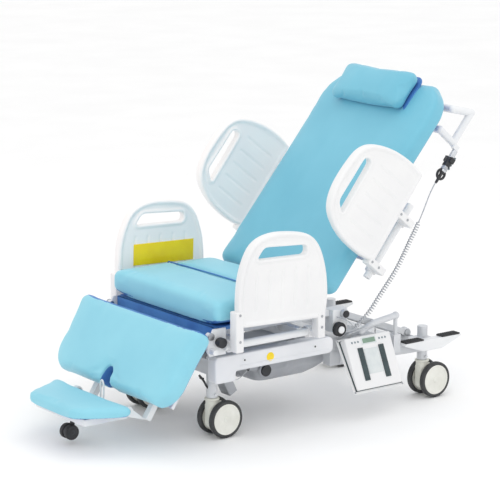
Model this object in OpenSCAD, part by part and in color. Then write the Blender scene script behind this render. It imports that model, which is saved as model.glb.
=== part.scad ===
/* [Overall] */
// Distance between the foot and head caster stems
wheelbase = 867; // [780:1:950]
// Distance of each foot caster stem from the middle plane
foot_stem_y = 212; // [200:1:225]
// Distance of each head caster stem from the middle plane
head_stem_y = 253; // [240:1:262]
// Height of the seat frame's pivots above the floor in the lowest position
seat_pivot_z = 346; // [343:1:350]
// Angle of the backrest above the horizontal as shown
recline = 50; // [40:1:60]
// Angle of the leg rest below the horizontal as shown
leg_drop = 57; // [50:1:62]

/* [Pads] */
// Width of the seat pad
seat_pad_w = 620; // [560:1:640]
// Length of the seat pad
seat_pad_l = 238; // [200:1:260]
// Thickness of the seat pad
seat_pad_t = 88; // [60:1:92]
// Length of the hip pad between the seat and the backrest
hip_pad_l = 174; // [150:1:178]
// Width of the backrest pad
back_pad_w = 616; // [560:1:624]
// Length of the backrest pad
back_pad_l = 836; // [760:1:840]
// Thickness of the backrest pad
back_pad_t = 80; // [60:1:84]
// Width of the leg pad
leg_pad_w = 694; // [600:1:700]
// Length of the leg pad
leg_pad_l = 278; // [250:1:282]
// Thickness of the leg pad
leg_pad_t = 84; // [60:1:86]
// Width of the foot pad at its rear edge
foot_pad_w = 480; // [420:1:500]
// Length of the foot pad
foot_pad_l = 182; // [160:1:190]
// Thickness of the foot pad
foot_pad_t = 36; // [28:1:40]
// Width of the head pillow
pillow_w = 372; // [300:1:420]
// Length of the head pillow along the backrest
pillow_l = 150; // [120:1:170]
// Thickness of the head pillow
pillow_t = 66; // [50:1:76]
// Height of each pad's crown over its edges
crown = 9; // [4:1:12]

/* [Arms] */
// Gap between the backrest pad and each back arm
back_arm_gap = 38; // [35:1:45]
// Gap between the seat pad and each seat arm
seat_arm_gap = 20; // [17:1:25]
// Length of an arm panel
arm_l = 354; // [340:1:390]
// Height of an arm panel
arm_h = 298; // [260:1:310]
// Thickness of an arm panel at its rim
arm_t = 34; // [26:1:38]
// Thickness of an arm panel inside its rim
arm_web_t = 22; // [14:1:24]
// Length of the hand slot
slot_l = 208; // [180:1:220]
// Height of the hand slot
slot_h = 38; // [34:1:42]
// Seat arm's slope down towards the head end
arm_slope = 2; // [0:0.5:3]

/* [Casters] */
// Diameter of a caster wheel
wheel_d = 125; // [100:1:128]
// Width of one caster wheel
wheel_w = 22; // [18:1:24]
// Distance between the middles of a caster's two wheels
wheel_gap = 66; // [64:1:72]
// Distance of the wheel axle behind the caster stem
trail = 31; // [24:1:34]
// Height of the caster housing's top above the floor
housing_top_z = 134; // [130:1:138]

/* [Lift] */
// Length of each lift arm between its pivots
lift_arm_l = 292; // [280:1:300]
// Lift arm's angle above the horizontal in the lowest position
lift_rest = 21; // [19:1:23]
// Distance between the front and rear lift arms
lift_span = 330; // [310:1:340]
// Diameter of the lift and hinge pins
pin_d = 16; // [14:1:18]
// Radial clearance of a pin in its bore
pin_clear = 0.05; // [0.03:0.01:0.09]

/* [Console] */
// Width of the weighing console
console_w = 196; // [180:1:200]
// Height of the weighing console along its slope
console_h = 176; // [150:1:186]
// Lean of the weighing console outwards
console_lean = 32; // [26:1:34]

/* [Hidden] */

// Number of points on each rounded corner of an outline
corner_points = 6;
// Curve segments of every true round
$fn = 48;
// How far a cut runs past the face that it opens
over = 1;
// How far the ball at a bend stands out of its tube, as a ground weld does
weld_bead = 0.8;
// Gap between soft pieces and what lies next to them
soft_gap = 0.4;
// Gap between flat faces of two bodies that slide past each other
run_gap = 1;
// Colours
white = "#F5F6F7";
shade = "#DADEE6";
grey = "#B9BCC1";
dark = "#3C3C3C";
cream = "#DEDED4";
aqua = "#92D2E2";
yellow = "#E4D200";

// Stations run along X from the foot caster stems towards the head end
seat_x = -49;
seat_top_z = 475;
hip_gap = 3;
hip_x = seat_x + seat_pad_l + hip_gap;
hip_drop = 5;
hip_top_z = seat_top_z - hip_drop;
back_x = 383;
back_z = 455;
back_hinge_x = 400;
back_hinge_z = 400;
leg_x = -139;
leg_z = 411;
leg_hinge_x = -62;
leg_hinge_z = 362;
foot_hinge_x = -288;
foot_hinge_z = 122;
foot_pad_x = -312;
foot_pad_z = 156;
pad_bottom_z = seat_top_z - seat_pad_t;
board_t = 12;
arm_y = back_pad_w / 2 + back_arm_gap + arm_t / 2;
seat_arm_y = seat_pad_w / 2 + seat_arm_gap + arm_t / 2;

// Outer tip of the foot pad and of the push handle set the middle of the footprint
handle_reach = 186;
handle_s = 838;
handle_r = 13;
foot_tip_x = foot_pad_x - foot_pad_l;
handle_tip_x = back_x + handle_s * cos(recline) + handle_reach * sin(recline) + handle_r;
mid_x = (foot_tip_x + handle_tip_x) / 2;

// Moves a shape from stations to the frame whose origin is under the middle of the footprint
module in_frame() translate([-mid_x, 0, 0]) children();

// A box from its low corner to its high corner
module block(low, high) translate(low) cube(high - low);

// A round bar between two points
module bar(a, b, r) {
    d = b - a;
    len = norm(d);
    translate(a)
        rotate([0, acos(d.z / len), atan2(d.y, d.x)])
            cylinder(r = r, h = len);
}

// A round bar along Y
module bar_y(x, z, y_low, y_high, r)
    translate([x, y_high, z]) rotate([90, 0, 0]) cylinder(r = r, h = y_high - y_low);

// An outline in X and Z given a thickness along Y
module plate(outline, y_low, y_high)
    translate([0, y_high, 0]) rotate([90, 0, 0]) linear_extrude(y_high - y_low) polygon(outline);

// A ball at the joint of two bars
module knuckle(p, r) translate(p) sphere(r = r);

// A run of round bar through points with ball joints at its bends
module run(points, r) {
    for (i = [0 : len(points) - 2]) bar(points[i], points[i + 1], r);
    if (len(points) > 2)
        for (i = [1 : len(points) - 2]) knuckle(points[i], r + weld_bead);
}

// Repeats a shape on both sides of the middle plane
module both_sides() {
    children();
    mirror([0, 1, 0]) children();
}

// Points of one rounded corner of radius r at b, between a and c
function corner(a, b, c, r) =
    let (u = (a - b) / norm(a - b), v = (c - b) / norm(c - b),
        half = acos(max(-1, min(1, u * v))) / 2,
        reach = r / tan(half), mid = (u + v) / norm(u + v),
        centre = b + mid * r / sin(half),
        p = b + u * reach - centre, q = b + v * reach - centre,
        sweep = 180 - 2 * half,
        turn = (p.x * q.y - p.y * q.x) > 0 ? 1 : -1)
    [for (i = [0 : corner_points])
        let (t = turn * sweep * i / corner_points)
        centre + [p.x * cos(t) - p.y * sin(t), p.x * sin(t) + p.y * cos(t)]];

// An outline with each corner rounded by its own radius
function rounded(points, radii) =
    let (n = len(points))
    [for (i = [0 : n - 1])
        each (radii[i] <= 0 ? [points[i]]
            : corner(points[(i + n - 1) % n], points[i], points[(i + 1) % n], radii[i]))];

// Points of an outline turned by an angle and moved
function placed(points, angle, at) =
    [for (p = points) at + [p.x * cos(angle) - p.y * sin(angle), p.x * sin(angle) + p.y * cos(angle)]];

// Station of a point that is s along the backrest and n out of its surface
function on_back(s, n) =
    [back_x + s * cos(recline) - n * sin(recline), back_z + s * sin(recline) + n * cos(recline)];

// Station of a point that is u down the leg rest and n out of its surface
function on_leg(u, n) =
    [leg_x - u * cos(leg_drop) - n * sin(leg_drop), leg_z - u * sin(leg_drop) + n * cos(leg_drop)];

// Cushion: rings of points along its length, each a rounded oblong with a crowned top
ring_points = 20;
end_steps = 3;
mid_steps = 8;
ring_power_share = 0.3;
draw_in = 5;
function signed_power(v, p) = (v < 0 ? -1 : 1) * pow(abs(v), p);
function plan_cut(x, r) = x >= r ? 0 : r - sqrt(r * r - (r - x) * (r - x));
function cushion_ring(x, l, w_a, w_b, t, inset, rise, pull, r_a, r_b) =
    let (f = x / l, w = w_a + (w_b - w_a) * f, dome = 4 * f * (1 - f),
        cut = plan_cut(x + inset, r_a) + plan_cut(l - x + inset, r_b),
        half_w = w / 2 - inset - pull * dome - cut, half_t = t / 2 - inset)
    [for (i = [0 : ring_points - 1])
        let (a = 360 * (i + 0.5) / ring_points,
            y = half_w * signed_power(cos(a), ring_power_share),
            z = half_t * signed_power(sin(a), ring_power_share),
            across = 1 - pow(y / (w / 2), 2))
        [x, y, z - t / 2 + (z > 0 ? rise * dome * across : 0)]];
function cushion_stations(l, r) = concat(
    [for (i = [0 : end_steps - 1]) [r * (1 - cos(90 * i / end_steps)), r * (1 - sin(90 * i / end_steps))]],
    [for (i = [0 : mid_steps]) [r + (l - 2 * r) * (1 - cos(180 * i / mid_steps)) / 2, 0]],
    [for (i = [end_steps - 1 : -1 : 0])
        [l - r * (1 - cos(90 * i / end_steps)), r * (1 - sin(90 * i / end_steps))]]);
// The cushion's top edge line lies at height 0 and its first end at x = 0
module cushion(l, w_a, w_b, t, r, rise, r_a, r_b) {
    rows = cushion_stations(l, r);
    count = len(rows);
    points = [for (row = rows) each cushion_ring(row.x, l, w_a, w_b, t, row.y, rise, draw_in, r_a, r_b)];
    sides = [for (k = [0 : count - 2]) for (i = [0 : ring_points - 1])
        let (j = (i + 1) % ring_points, a = k * ring_points, b = a + ring_points)
        each [[a + i, b + i, a + j], [a + j, b + i, b + j]]];
    first = [for (i = [1 : ring_points - 2]) [0, i, i + 1]];
    last = [for (i = [1 : ring_points - 2]) [0, i + 1, i] + (count - 1) * ring_points * [1, 1, 1]];
    polyhedron(points, concat(sides, first, last));
}

// Base frame
rail_y = 220;
rail_w = 40;
rail_low_z = 215;
rail_high_z = 265;
rail_start_x = -22;
head_rail_low_z = 168;
beam_w = 44;
beam_inset = 3;
front_beam_in = 29;
rail_past_beam = 82;
head_rail_lap = 18;
head_beam_in = 99;
rail_tail = 22;
stem_tube_r = 18;
stem_tube_low_z = housing_top_z + run_gap;
foot_tube_top_z = 274;
head_tube_top_z = 252;
stem_r = 11;
stem_top_z = 184;
stem_fit = 0.1;
ear_t = 8;
ear_r = 17;
pin_r = pin_d / 2;
pin_bore_r = pin_r + pin_clear;
pin_head_r = 12;
pin_head_t = 4;
front_arm_y = 160;
arm_bar_t = 12;
arm_side = arm_bar_t / 2 + run_gap;
rear_arm_y = 256;
seat_rear_in = 350;
seat_rear_x = wheelbase - seat_rear_in;
base_rear_x = seat_rear_x + lift_arm_l * cos(lift_rest);
base_pivot_z = seat_pivot_z - lift_arm_l * sin(lift_rest);
base_front_x = base_rear_x - lift_span;
seat_front_x = seat_rear_x - lift_span;
front_beam_x = seat_rear_x - front_beam_in;
rail_end_x = front_beam_x + rail_past_beam;
head_rail_x = front_beam_x - head_rail_lap;
head_beam_x = wheelbase - head_beam_in;
brake_x = wheelbase;
brake_z = 200;
brake_r = 7;
brake_bore_r = 8.5;
clamp_bolt_r = 5;
clamp_bolt_l = 6;
clamp_bolt_z = 146;

function head_rail_angle() = atan2(head_stem_y - rail_y, wheelbase - head_rail_x);

module rear_ear()
    difference() {
        union() {
            bar_y(base_rear_x, base_pivot_z, rear_arm_y - arm_side - ear_t, rear_arm_y - arm_side, ear_r);
            block([base_rear_x - ear_r, rear_arm_y - arm_side - ear_t, rail_low_z - over],
                [base_rear_x + ear_r, rear_arm_y - arm_side, base_pivot_z]);
        }
        bar_y(base_rear_x, base_pivot_z, rear_arm_y - arm_side - ear_t - over, rear_arm_y, pin_bore_r);
    }

module front_ear() {
    ear_low_y = front_arm_y + arm_side;
    difference() {
        union() {
            bar_y(base_front_x, base_pivot_z, ear_low_y, ear_low_y + ear_t, ear_r);
            block([base_front_x, ear_low_y, base_pivot_z - ear_r], [front_beam_x + over, ear_low_y + ear_t,
                base_pivot_z + ear_r]);
        }
        bar_y(base_front_x, base_pivot_z, ear_low_y - over, ear_low_y + ear_t + over, pin_bore_r);
    }
}

module clamp_bolt(x, y)
    bar_y(x, clamp_bolt_z, y, y + stem_tube_r + clamp_bolt_l, clamp_bolt_r);
module base_frame() color(shade) in_frame() difference() {
    union() {
        both_sides() {
            block([rail_start_x, rail_y - rail_w / 2, rail_low_z],
                [rail_end_x, rail_y + rail_w / 2, rail_high_z]);
            translate([head_rail_x, rail_y, head_rail_low_z])
                rotate([0, 0, head_rail_angle()])
                    translate([0, -rail_w / 2, 0])
                        cube([norm([wheelbase - head_rail_x, head_stem_y - rail_y]) + rail_tail, rail_w,
                            rail_low_z - head_rail_low_z]);
            translate([0, foot_stem_y, stem_tube_low_z])
                cylinder(r = stem_tube_r, h = foot_tube_top_z - stem_tube_low_z);
            translate([wheelbase, head_stem_y, stem_tube_low_z])
                cylinder(r = stem_tube_r, h = head_tube_top_z - stem_tube_low_z);
            clamp_bolt(0, foot_stem_y);
            clamp_bolt(wheelbase, head_stem_y);
            rear_ear();
            front_ear();
        }
        guard_form();
        block([-beam_w / 2, -rail_y, rail_low_z], [beam_w / 2, rail_y, rail_high_z]);
        block([front_beam_x, -rail_y, rail_low_z], [front_beam_x + beam_w, rail_y, rail_high_z]);
        block([head_beam_x, -head_stem_y, head_rail_low_z + beam_inset],
            [head_beam_x + beam_w, head_stem_y, rail_low_z - beam_inset]);
    }
    both_sides() {
        translate([0, foot_stem_y, 0]) cylinder(r = stem_r + stem_fit, h = stem_top_z + run_gap);
        translate([wheelbase, head_stem_y, 0]) cylinder(r = stem_r + stem_fit, h = stem_top_z + run_gap);
        bar_y(brake_x, brake_z, 0, arm_y, brake_bore_r);
    }
}

// Side covers
cover_y = 286;
cover_wall = 3;
cover_low_z = 230;
cover_top_z = 286;
cover_foot_x = -38;
cover_step_x = 44;
cover_head_x = 446;
cover_drop_z = 197;
cover_r = 10;
cover_end_r = 26;
cover_screw_r = 4;
cover_screw_x = 78;
cover_screw_z = 262;
function cover_outline(inset) =
    let (lo = cover_low_z + inset, hi = cover_top_z - inset)
    rounded([[cover_foot_x + inset, hi - cover_r], [cover_foot_x + inset, cover_drop_z + inset],
        [cover_step_x - inset, cover_drop_z + inset], [cover_step_x - inset, lo], [cover_head_x - inset, lo],
        [cover_head_x - inset, hi]],
        [cover_r, cover_r - inset, cover_r - inset, 0, cover_end_r - inset, cover_end_r - inset]);
module side_cover() color(white) in_frame() {
    difference() {
        plate(cover_outline(0), rail_y + rail_w / 2 + soft_gap, cover_y);
        plate(cover_outline(cover_wall), rail_y, cover_y - cover_wall);
    }
    for (x = [cover_screw_x, cover_head_x - cover_screw_x])
        bar_y(x, cover_screw_z, cover_y, cover_y + cover_wall / 2, cover_screw_r);
}
module side_cover_far() side_cover();
module side_cover_near() mirror([0, 1, 0]) side_cover();

// Drive housing under the frame
drive_top_z = 213;
drive_low_z = 118;
drive_mid_z = 170;
drive_x = [96, 210, 470, 545];
drive_top_w = 340;
drive_low_w = 230;
drive_wall = 4;
drive_cap_r = 22;
drive_cap_t = 14;
drive_cap_x = 246;
drive_cap_z = 172;
module drive_form(inset) hull() {
    block([drive_x[0] + inset, -drive_top_w / 2 + inset, drive_mid_z + beam_w / 2 + inset],
        [drive_x[3] - inset, drive_top_w / 2 - inset, drive_top_z + (inset > 0 ? over : 0)]);
    block([drive_x[1] + inset, -drive_top_w / 2 + inset, drive_mid_z - inset],
        [drive_x[3] - inset, drive_top_w / 2 - inset, drive_mid_z]);
    block([drive_x[1] + inset, -drive_low_w / 2 + inset, drive_low_z + inset],
        [drive_x[2] - inset, drive_low_w / 2 - inset, drive_mid_z]);
}
module drive_housing() color(grey) in_frame() difference() {
    drive_form(0);
    drive_form(drive_wall);
}
module drive_cap() color(dark) in_frame()
    bar_y(drive_cap_x, drive_cap_z, -drive_top_w / 2 - drive_cap_t, -drive_top_w / 2, drive_cap_r);

// Lift motor and its rod inside the drive housing
motor_r = 30;
motor_x = [240, 380];
motor_z = 160;
rod_r = 9;
rod_fit = 0.1;
rod_back_x = 300;
rod_tip_x = 425;
rod_eye_r = 15;
module lift_motor() color(grey) in_frame() difference() {
    union() {
        bar([motor_x[0], 0, motor_z], [motor_x[1], 0, motor_z], motor_r);
        block([motor_x[0], -motor_r, drive_low_z + drive_wall], [motor_x[1], motor_r, motor_z]);
    }
    bar([rod_back_x - motor_r, 0, motor_z], [motor_x[1] + over, 0, motor_z], rod_r + rod_fit);
}
module lift_rod() color(grey) in_frame() {
    bar([rod_back_x, 0, motor_z], [rod_tip_x, 0, motor_z], rod_r);
    bar_y(rod_tip_x + rod_eye_r / 2, motor_z, -rod_eye_r / 2, rod_eye_r / 2, rod_eye_r);
}

// Brake shaft and rocker pedals
pedal_y = 277;
pedal_w = 34;
pedal_reach = 128;
pedal_deep = 22;
pedal_low_reach = 44;
pedal_end_r = 2.3;
pedal_top = 16;
pad_t = 7;
pad_inset = 5;
pad_reach = 82;
shaft_collar_r = 11;
module brake_shaft() color(grey) in_frame()
    translate([brake_x, pedal_y + pedal_w / 2, brake_z])
        rotate([90, 0, 0]) cylinder(r = brake_r, h = 2 * pedal_y + pedal_w, $fn = 6);
module brake_pedal() color(white) in_frame() difference() {
    plate(placed(rounded([[-pedal_reach, pedal_top - pad_t], [-pedal_reach, pedal_top],
        [pedal_reach, pedal_top], [pedal_reach, pedal_top - pad_t], [pedal_low_reach, -pedal_deep],
        [-pedal_low_reach, -pedal_deep]], [pedal_end_r, 0, 0, pedal_end_r, pedal_deep, pedal_deep]), 0,
        [brake_x, brake_z]), pedal_y, pedal_y + pedal_w);
    translate([brake_x, pedal_y + pedal_w / 2, brake_z])
        rotate([90, 0, 0]) cylinder(r = brake_r + stem_fit, h = pedal_w / 2 + over, $fn = 6);
}
module brake_pedal_far() brake_pedal();
module brake_pedal_near() mirror([0, 1, 0]) brake_pedal();
module pedal_pads() color(dark) in_frame() both_sides() for (side = [-1, 1])
    translate([brake_x + side * (pedal_reach - pad_inset - pad_reach / 2), pedal_y + pedal_w / 2,
        brake_z + pedal_top])
        linear_extrude(pad_t) polygon(rounded([[-pad_reach / 2, -pedal_w / 2], [pad_reach / 2, -pedal_w / 2],
            [pad_reach / 2, pedal_w / 2], [-pad_reach / 2, pedal_w / 2]],
            [pad_t, pad_t, pad_t, pad_t]));

// Twin-wheel casters: the stem stays in its tube and the housing swivels under it
collar_r = 25;
collar_low_z = 128;
housing_r = 21;
housing_low_z = 92;
housing_neck_t = 12;
hood_neck_h = 24;
hood_r = 47;
hood_w = 34;
axle_r = 6;
axle_fit = 0.05;
tyre_t = 9;
hub_in = 4;
hub_cap_r = 12;
wheel_r = wheel_d / 2;
axle_boss_r = 12;
module caster_stem(x, y) color(grey) in_frame()
    translate([x, y, housing_top_z - housing_neck_t])
        cylinder(r = stem_r, h = stem_top_z - housing_top_z + housing_neck_t);
module caster_housing(x, y) color(cream) in_frame() translate([x, y, 0]) difference() {
    union() {
        translate([0, 0, housing_low_z]) cylinder(r = housing_r, h = housing_top_z - housing_low_z);
        translate([0, 0, collar_low_z]) cylinder(r = collar_r, h = housing_top_z - collar_low_z);
        hull() {
            bar_y(trail, wheel_r, -hood_w / 2, hood_w / 2, hood_r);
            translate([0, 0, housing_low_z]) cylinder(r = hood_w / 2, h = hood_neck_h);
        }
    }
    translate([0, 0, housing_top_z - housing_neck_t - run_gap])
        cylinder(r = stem_r + axle_fit, h = hood_neck_h);
    bar_y(trail, wheel_r, -hood_w, hood_w, axle_r + axle_fit);
}
module caster_wheels(x, y) color(dark) in_frame() translate([x + trail, y, 0]) {
    bar_y(0, wheel_r, -wheel_gap / 2, wheel_gap / 2, axle_r);
    for (side = [-1, 1]) translate([0, side * wheel_gap / 2, wheel_r]) rotate([90, 0, 0]) rotate_extrude()
        polygon(rounded([[0, -wheel_w / 2 + hub_in], [wheel_r - tyre_t, -wheel_w / 2 + hub_in],
            [wheel_r - tyre_t, -wheel_w / 2], [wheel_r, -wheel_w / 2], [wheel_r, wheel_w / 2],
            [wheel_r - tyre_t, wheel_w / 2], [wheel_r - tyre_t, wheel_w / 2 - hub_in],
            [0, wheel_w / 2 - hub_in]],
            [0, 0, 0, tyre_t / 2, tyre_t / 2, 0, 0, 0]));
}
module caster_stems() {
    for (side = [-1, 1]) {
        caster_stem(0, side * foot_stem_y);
        caster_stem(wheelbase, side * head_stem_y);
    }
}
module housing_foot_near() caster_housing(0, -foot_stem_y);
module housing_foot_far() caster_housing(0, foot_stem_y);
module housing_head_near() caster_housing(wheelbase, -head_stem_y);
module housing_head_far() caster_housing(wheelbase, head_stem_y);
module wheels_foot_near() caster_wheels(0, -foot_stem_y);
module wheels_foot_far() caster_wheels(0, foot_stem_y);
module wheels_head_near() caster_wheels(wheelbase, -head_stem_y);
module wheels_head_far() caster_wheels(wheelbase, head_stem_y);

// Parallel lift arms
arm_bar_h = 30;
arm_half_h = 10;
module lift_bar(base_x, seat_x_at, y) {
    a = [base_x, base_pivot_z];
    b = [seat_x_at, seat_pivot_z];
    turn = atan2(b.y - a.y, b.x - a.x);
    difference() {
        union() {
            bar_y(a.x, a.y, y - arm_bar_t / 2, y + arm_bar_t / 2, arm_bar_h / 2);
            bar_y(b.x, b.y, y - arm_bar_t / 2, y + arm_bar_t / 2, arm_bar_h / 2);
            plate(placed([[0, -arm_half_h], [lift_arm_l, -arm_half_h], [lift_arm_l, arm_half_h],
                [0, arm_half_h]], turn, a), y - arm_bar_t / 2, y + arm_bar_t / 2);
        }
        bar_y(a.x, a.y, y - arm_bar_t, y + arm_bar_t, pin_bore_r);
        bar_y(b.x, b.y, y - arm_bar_t, y + arm_bar_t, pin_bore_r);
    }
}
tie_share = 0.45;
tie_r = 12;
module lift_arms_front() color(grey) in_frame() {
    both_sides() lift_bar(base_front_x, seat_front_x, front_arm_y);
    tie_x = base_front_x + (seat_front_x - base_front_x) * tie_share;
    tie_z = base_pivot_z + (seat_pivot_z - base_pivot_z) * tie_share;
    bar_y(tie_x, tie_z, -front_arm_y, front_arm_y, tie_r);
}
module lift_arms_rear() color(grey) in_frame() both_sides() lift_bar(base_rear_x, seat_rear_x, rear_arm_y);
// Pin along Y with its head at the lower end
module pin_y(x, z, y_low, y_high) {
    bar_y(x, z, y_low, y_high, pin_r);
    bar_y(x, z, y_low - pin_head_t, y_low, pin_head_r);
}

// Pin through a front arm and the ear outside it, with its head on the inside
module pin_in(x, z) pin_y(x, z, front_arm_y - arm_side, front_arm_y + arm_side + ear_t);

// Pin along Y with its head at the upper end
module pin_out(x, z, y_low, y_high) {
    bar_y(x, z, y_low, y_high, pin_r);
    bar_y(x, z, y_high, y_high + pin_head_t, pin_head_r);
}

// Pin through a rear arm and the ear inside it, with its head on the outside
module pin_rear(x, z) pin_out(x, z, rear_arm_y - arm_side - ear_t, rear_arm_y + arm_side);
module base_pivot_pins() color(dark) in_frame() both_sides() {
    pin_in(base_front_x, base_pivot_z);
    pin_rear(base_rear_x, base_pivot_z);
}
module front_seat_pins() color(dark) in_frame() both_sides() {
    pin_in(seat_front_x, seat_pivot_z);
    pin_rear(seat_rear_x, seat_pivot_z);
}

// Hinge pins of the backrest, the leg rest and the foot rest
module section_pins() color(dark) in_frame() both_sides() {
    pin_y(back_hinge_x, back_hinge_z, hinge_ear_y - run_gap * 2 - ear_t, inner_y);
    pin_out(leg_hinge_x, leg_hinge_z, leg_plate_y - run_gap - leg_ear_t, leg_plate_y + leg_plate_t);
}
module foot_pins() color(dark) in_frame() both_sides()
    pin_y(foot_hinge_x, foot_hinge_z, leg_beam_y - run_gap * 2 - leg_ear_t, leg_beam_y + leg_ear_t);

// White guard tube beside the rear lift arm
guard_y = -282;
guard_r = 11;
guard_ball_r = 13.3;
guard_in_y = -228;
guard_run = [-22, -4, 52];
guard_clear = 20;
guard_zs = [262, 282, 304, 316];
guard_start = [rail_end_x + guard_run[0], guard_in_y, guard_zs[0]];
guard_bend = [rail_end_x + guard_run[1], guard_y, guard_zs[1]];
guard_low = [rail_end_x + guard_run[2], guard_y, guard_zs[2]];
guard_end = [brake_x - pedal_reach - guard_clear, guard_y, guard_zs[3]];
guard_post_r = 7;
guard_foot_z = 250;
guard_foot_low_z = 188;
guard_foot_w = 30;
guard_foot_in = 24;
module guard_form() {
    run([guard_start, guard_bend, guard_low, guard_end], guard_r);
    knuckle(guard_end, guard_ball_r);
    bar([guard_end.x, guard_y, guard_foot_z - over], guard_end, guard_post_r);
    block([guard_end.x - guard_foot_w / 2, guard_y - guard_r, guard_foot_low_z],
        [guard_end.x + guard_foot_w / 2, guard_y + guard_foot_in, guard_foot_z]);
}

// Weighing console hung on the near side of the base
console_in = 8;
console_x = head_rail_x + console_in;
console_y = -272;
console_z = 254;
console_top_t = 38;
console_low_t = 14;
console_fall = atan2(console_top_t - console_low_t, console_h);
plate_t = 3;
plate_lip = 9;
strip_w = 22;
strip_l = 112;
strip_in = 44;
strip_t = 4;
display_w = 62;
display_h = 22;
display_t = 2;
display_drop = 7;
panel_t = 2;
panel_in = 5;
bracket_w = 130;
bracket_z = [174, 210];
bracket_y = -240;
module on_console() translate([console_x, console_y, console_z]) rotate([-console_lean, 0, 0]) children();
module on_front() on_console() translate([0, -console_top_t, 0]) rotate([console_fall, 0, 0]) children();
module console_case() color(white) in_frame() on_console() {
    rotate([90, 0, 90]) linear_extrude(console_w)
        polygon([[-plate_t, 0], [-console_top_t, 0], [-console_low_t, -console_h], [-plate_t, -console_h]]);
    block([-plate_lip, -plate_t, -console_h - plate_lip], [console_w + plate_lip, 0, plate_lip]);
}
module console_panel() color(shade) in_frame() on_front()
    block([strip_in + strip_w, -panel_t, -console_h + strip_in],
        [console_w - strip_in - strip_w, 0, -strip_in]);
module console_display() color("#9FB8A6") in_frame() on_front()
    block([(console_w - display_w) / 2, -display_t, -display_drop - display_h],
        [(console_w + display_w) / 2, 0, -display_drop]);
module console_strips() color(dark) in_frame() on_front()
    for (x = [strip_in - panel_t, console_w - strip_in - strip_w + panel_t])
        block([x, -strip_t, -strip_in + panel_in - strip_l], [x + strip_w, 0, -strip_in + panel_in]);
module console_bracket() color(white) in_frame() difference() {
    block([console_x + console_w / 2 - bracket_w / 2, console_y - console_h, bracket_z.x],
        [console_x + console_w / 2 + bracket_w / 2, bracket_y, bracket_z.y]);
    on_console() block([-console_w, -console_h - console_w, -console_h - console_w],
        [console_w + console_h, 0, console_h]);
    translate([head_rail_x, -rail_y, 0]) rotate([0, 0, -head_rail_angle()])
        block([-rail_w, -rail_w / 2, 0], [wheelbase, rail_w, arm_y]);
}

// Buffer roller on a pin beside the seat frame's column
roller_in = 28;
roller_x = seat_rear_x - roller_in;
roller_z = 298;
roller_r = 24;
roller_w = 18;
roller_y = -254;
module buffer_roller() color(dark) in_frame() difference() {
    bar_y(roller_x, roller_z, roller_y - roller_w, roller_y, roller_r);
    bar_y(roller_x, roller_z, roller_y - roller_w - over, roller_y + over, pin_bore_r);
}

// Thin cable from the base rail into the console's top
cable_r = 2.5;
cable_points = [[500, -240.6, 256], [500, -250, 258], [506, -270, 272], [518, -292, 286], [545, -304, 296],
    [570, -306, 299], [598, -304, 297], [620, -294, 288], [628, -284, 273], [628, -289, 265]];

// A round cord swept along its points
function smooth(points, steps) = [for (i = [0 : len(points) - 2]) for (k = [0 : steps - 1])
    let (n = len(points) - 1, t = k / steps, a = points[max(0, i - 1)], b = points[i], c = points[i + 1],
        d = points[min(n, i + 2)])
    ((2 * b) + (c - a) * t + (2 * a - 5 * b + 4 * c - d) * t * t + (3 * b - a - 3 * c + d) * t * t * t) / 2];
side_way = [0.31, 1, 0.17];
function unit(v) = v / norm(v);
function along(points, i) = let (n = len(points) - 1) unit(points[min(n, i + 1)] - points[max(0, i - 1)]);
module sweep(points, r, sides) {
    n = len(points);
    rings = [for (i = [0 : n - 1])
        let (t = along(points, i), u = unit(cross(t, side_way)), v = cross(t, u))
        for (k = [0 : sides - 1]) points[i] + r * (u * cos(360 * k / sides) + v * sin(360 * k / sides))];
    walls = [for (i = [0 : n - 2]) for (k = [0 : sides - 1])
        let (a = i * sides + k, b = i * sides + (k + 1) % sides)
        each [[a, a + sides, b], [b, a + sides, b + sides]]];
    first = [for (k = [1 : sides - 2]) [0, k, k + 1]];
    last = [for (k = [1 : sides - 2]) [0, k + 1, k] + (n - 1) * sides * [1, 1, 1]];
    polyhedron(points = rings, faces = concat(walls, first, last));
}

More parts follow.
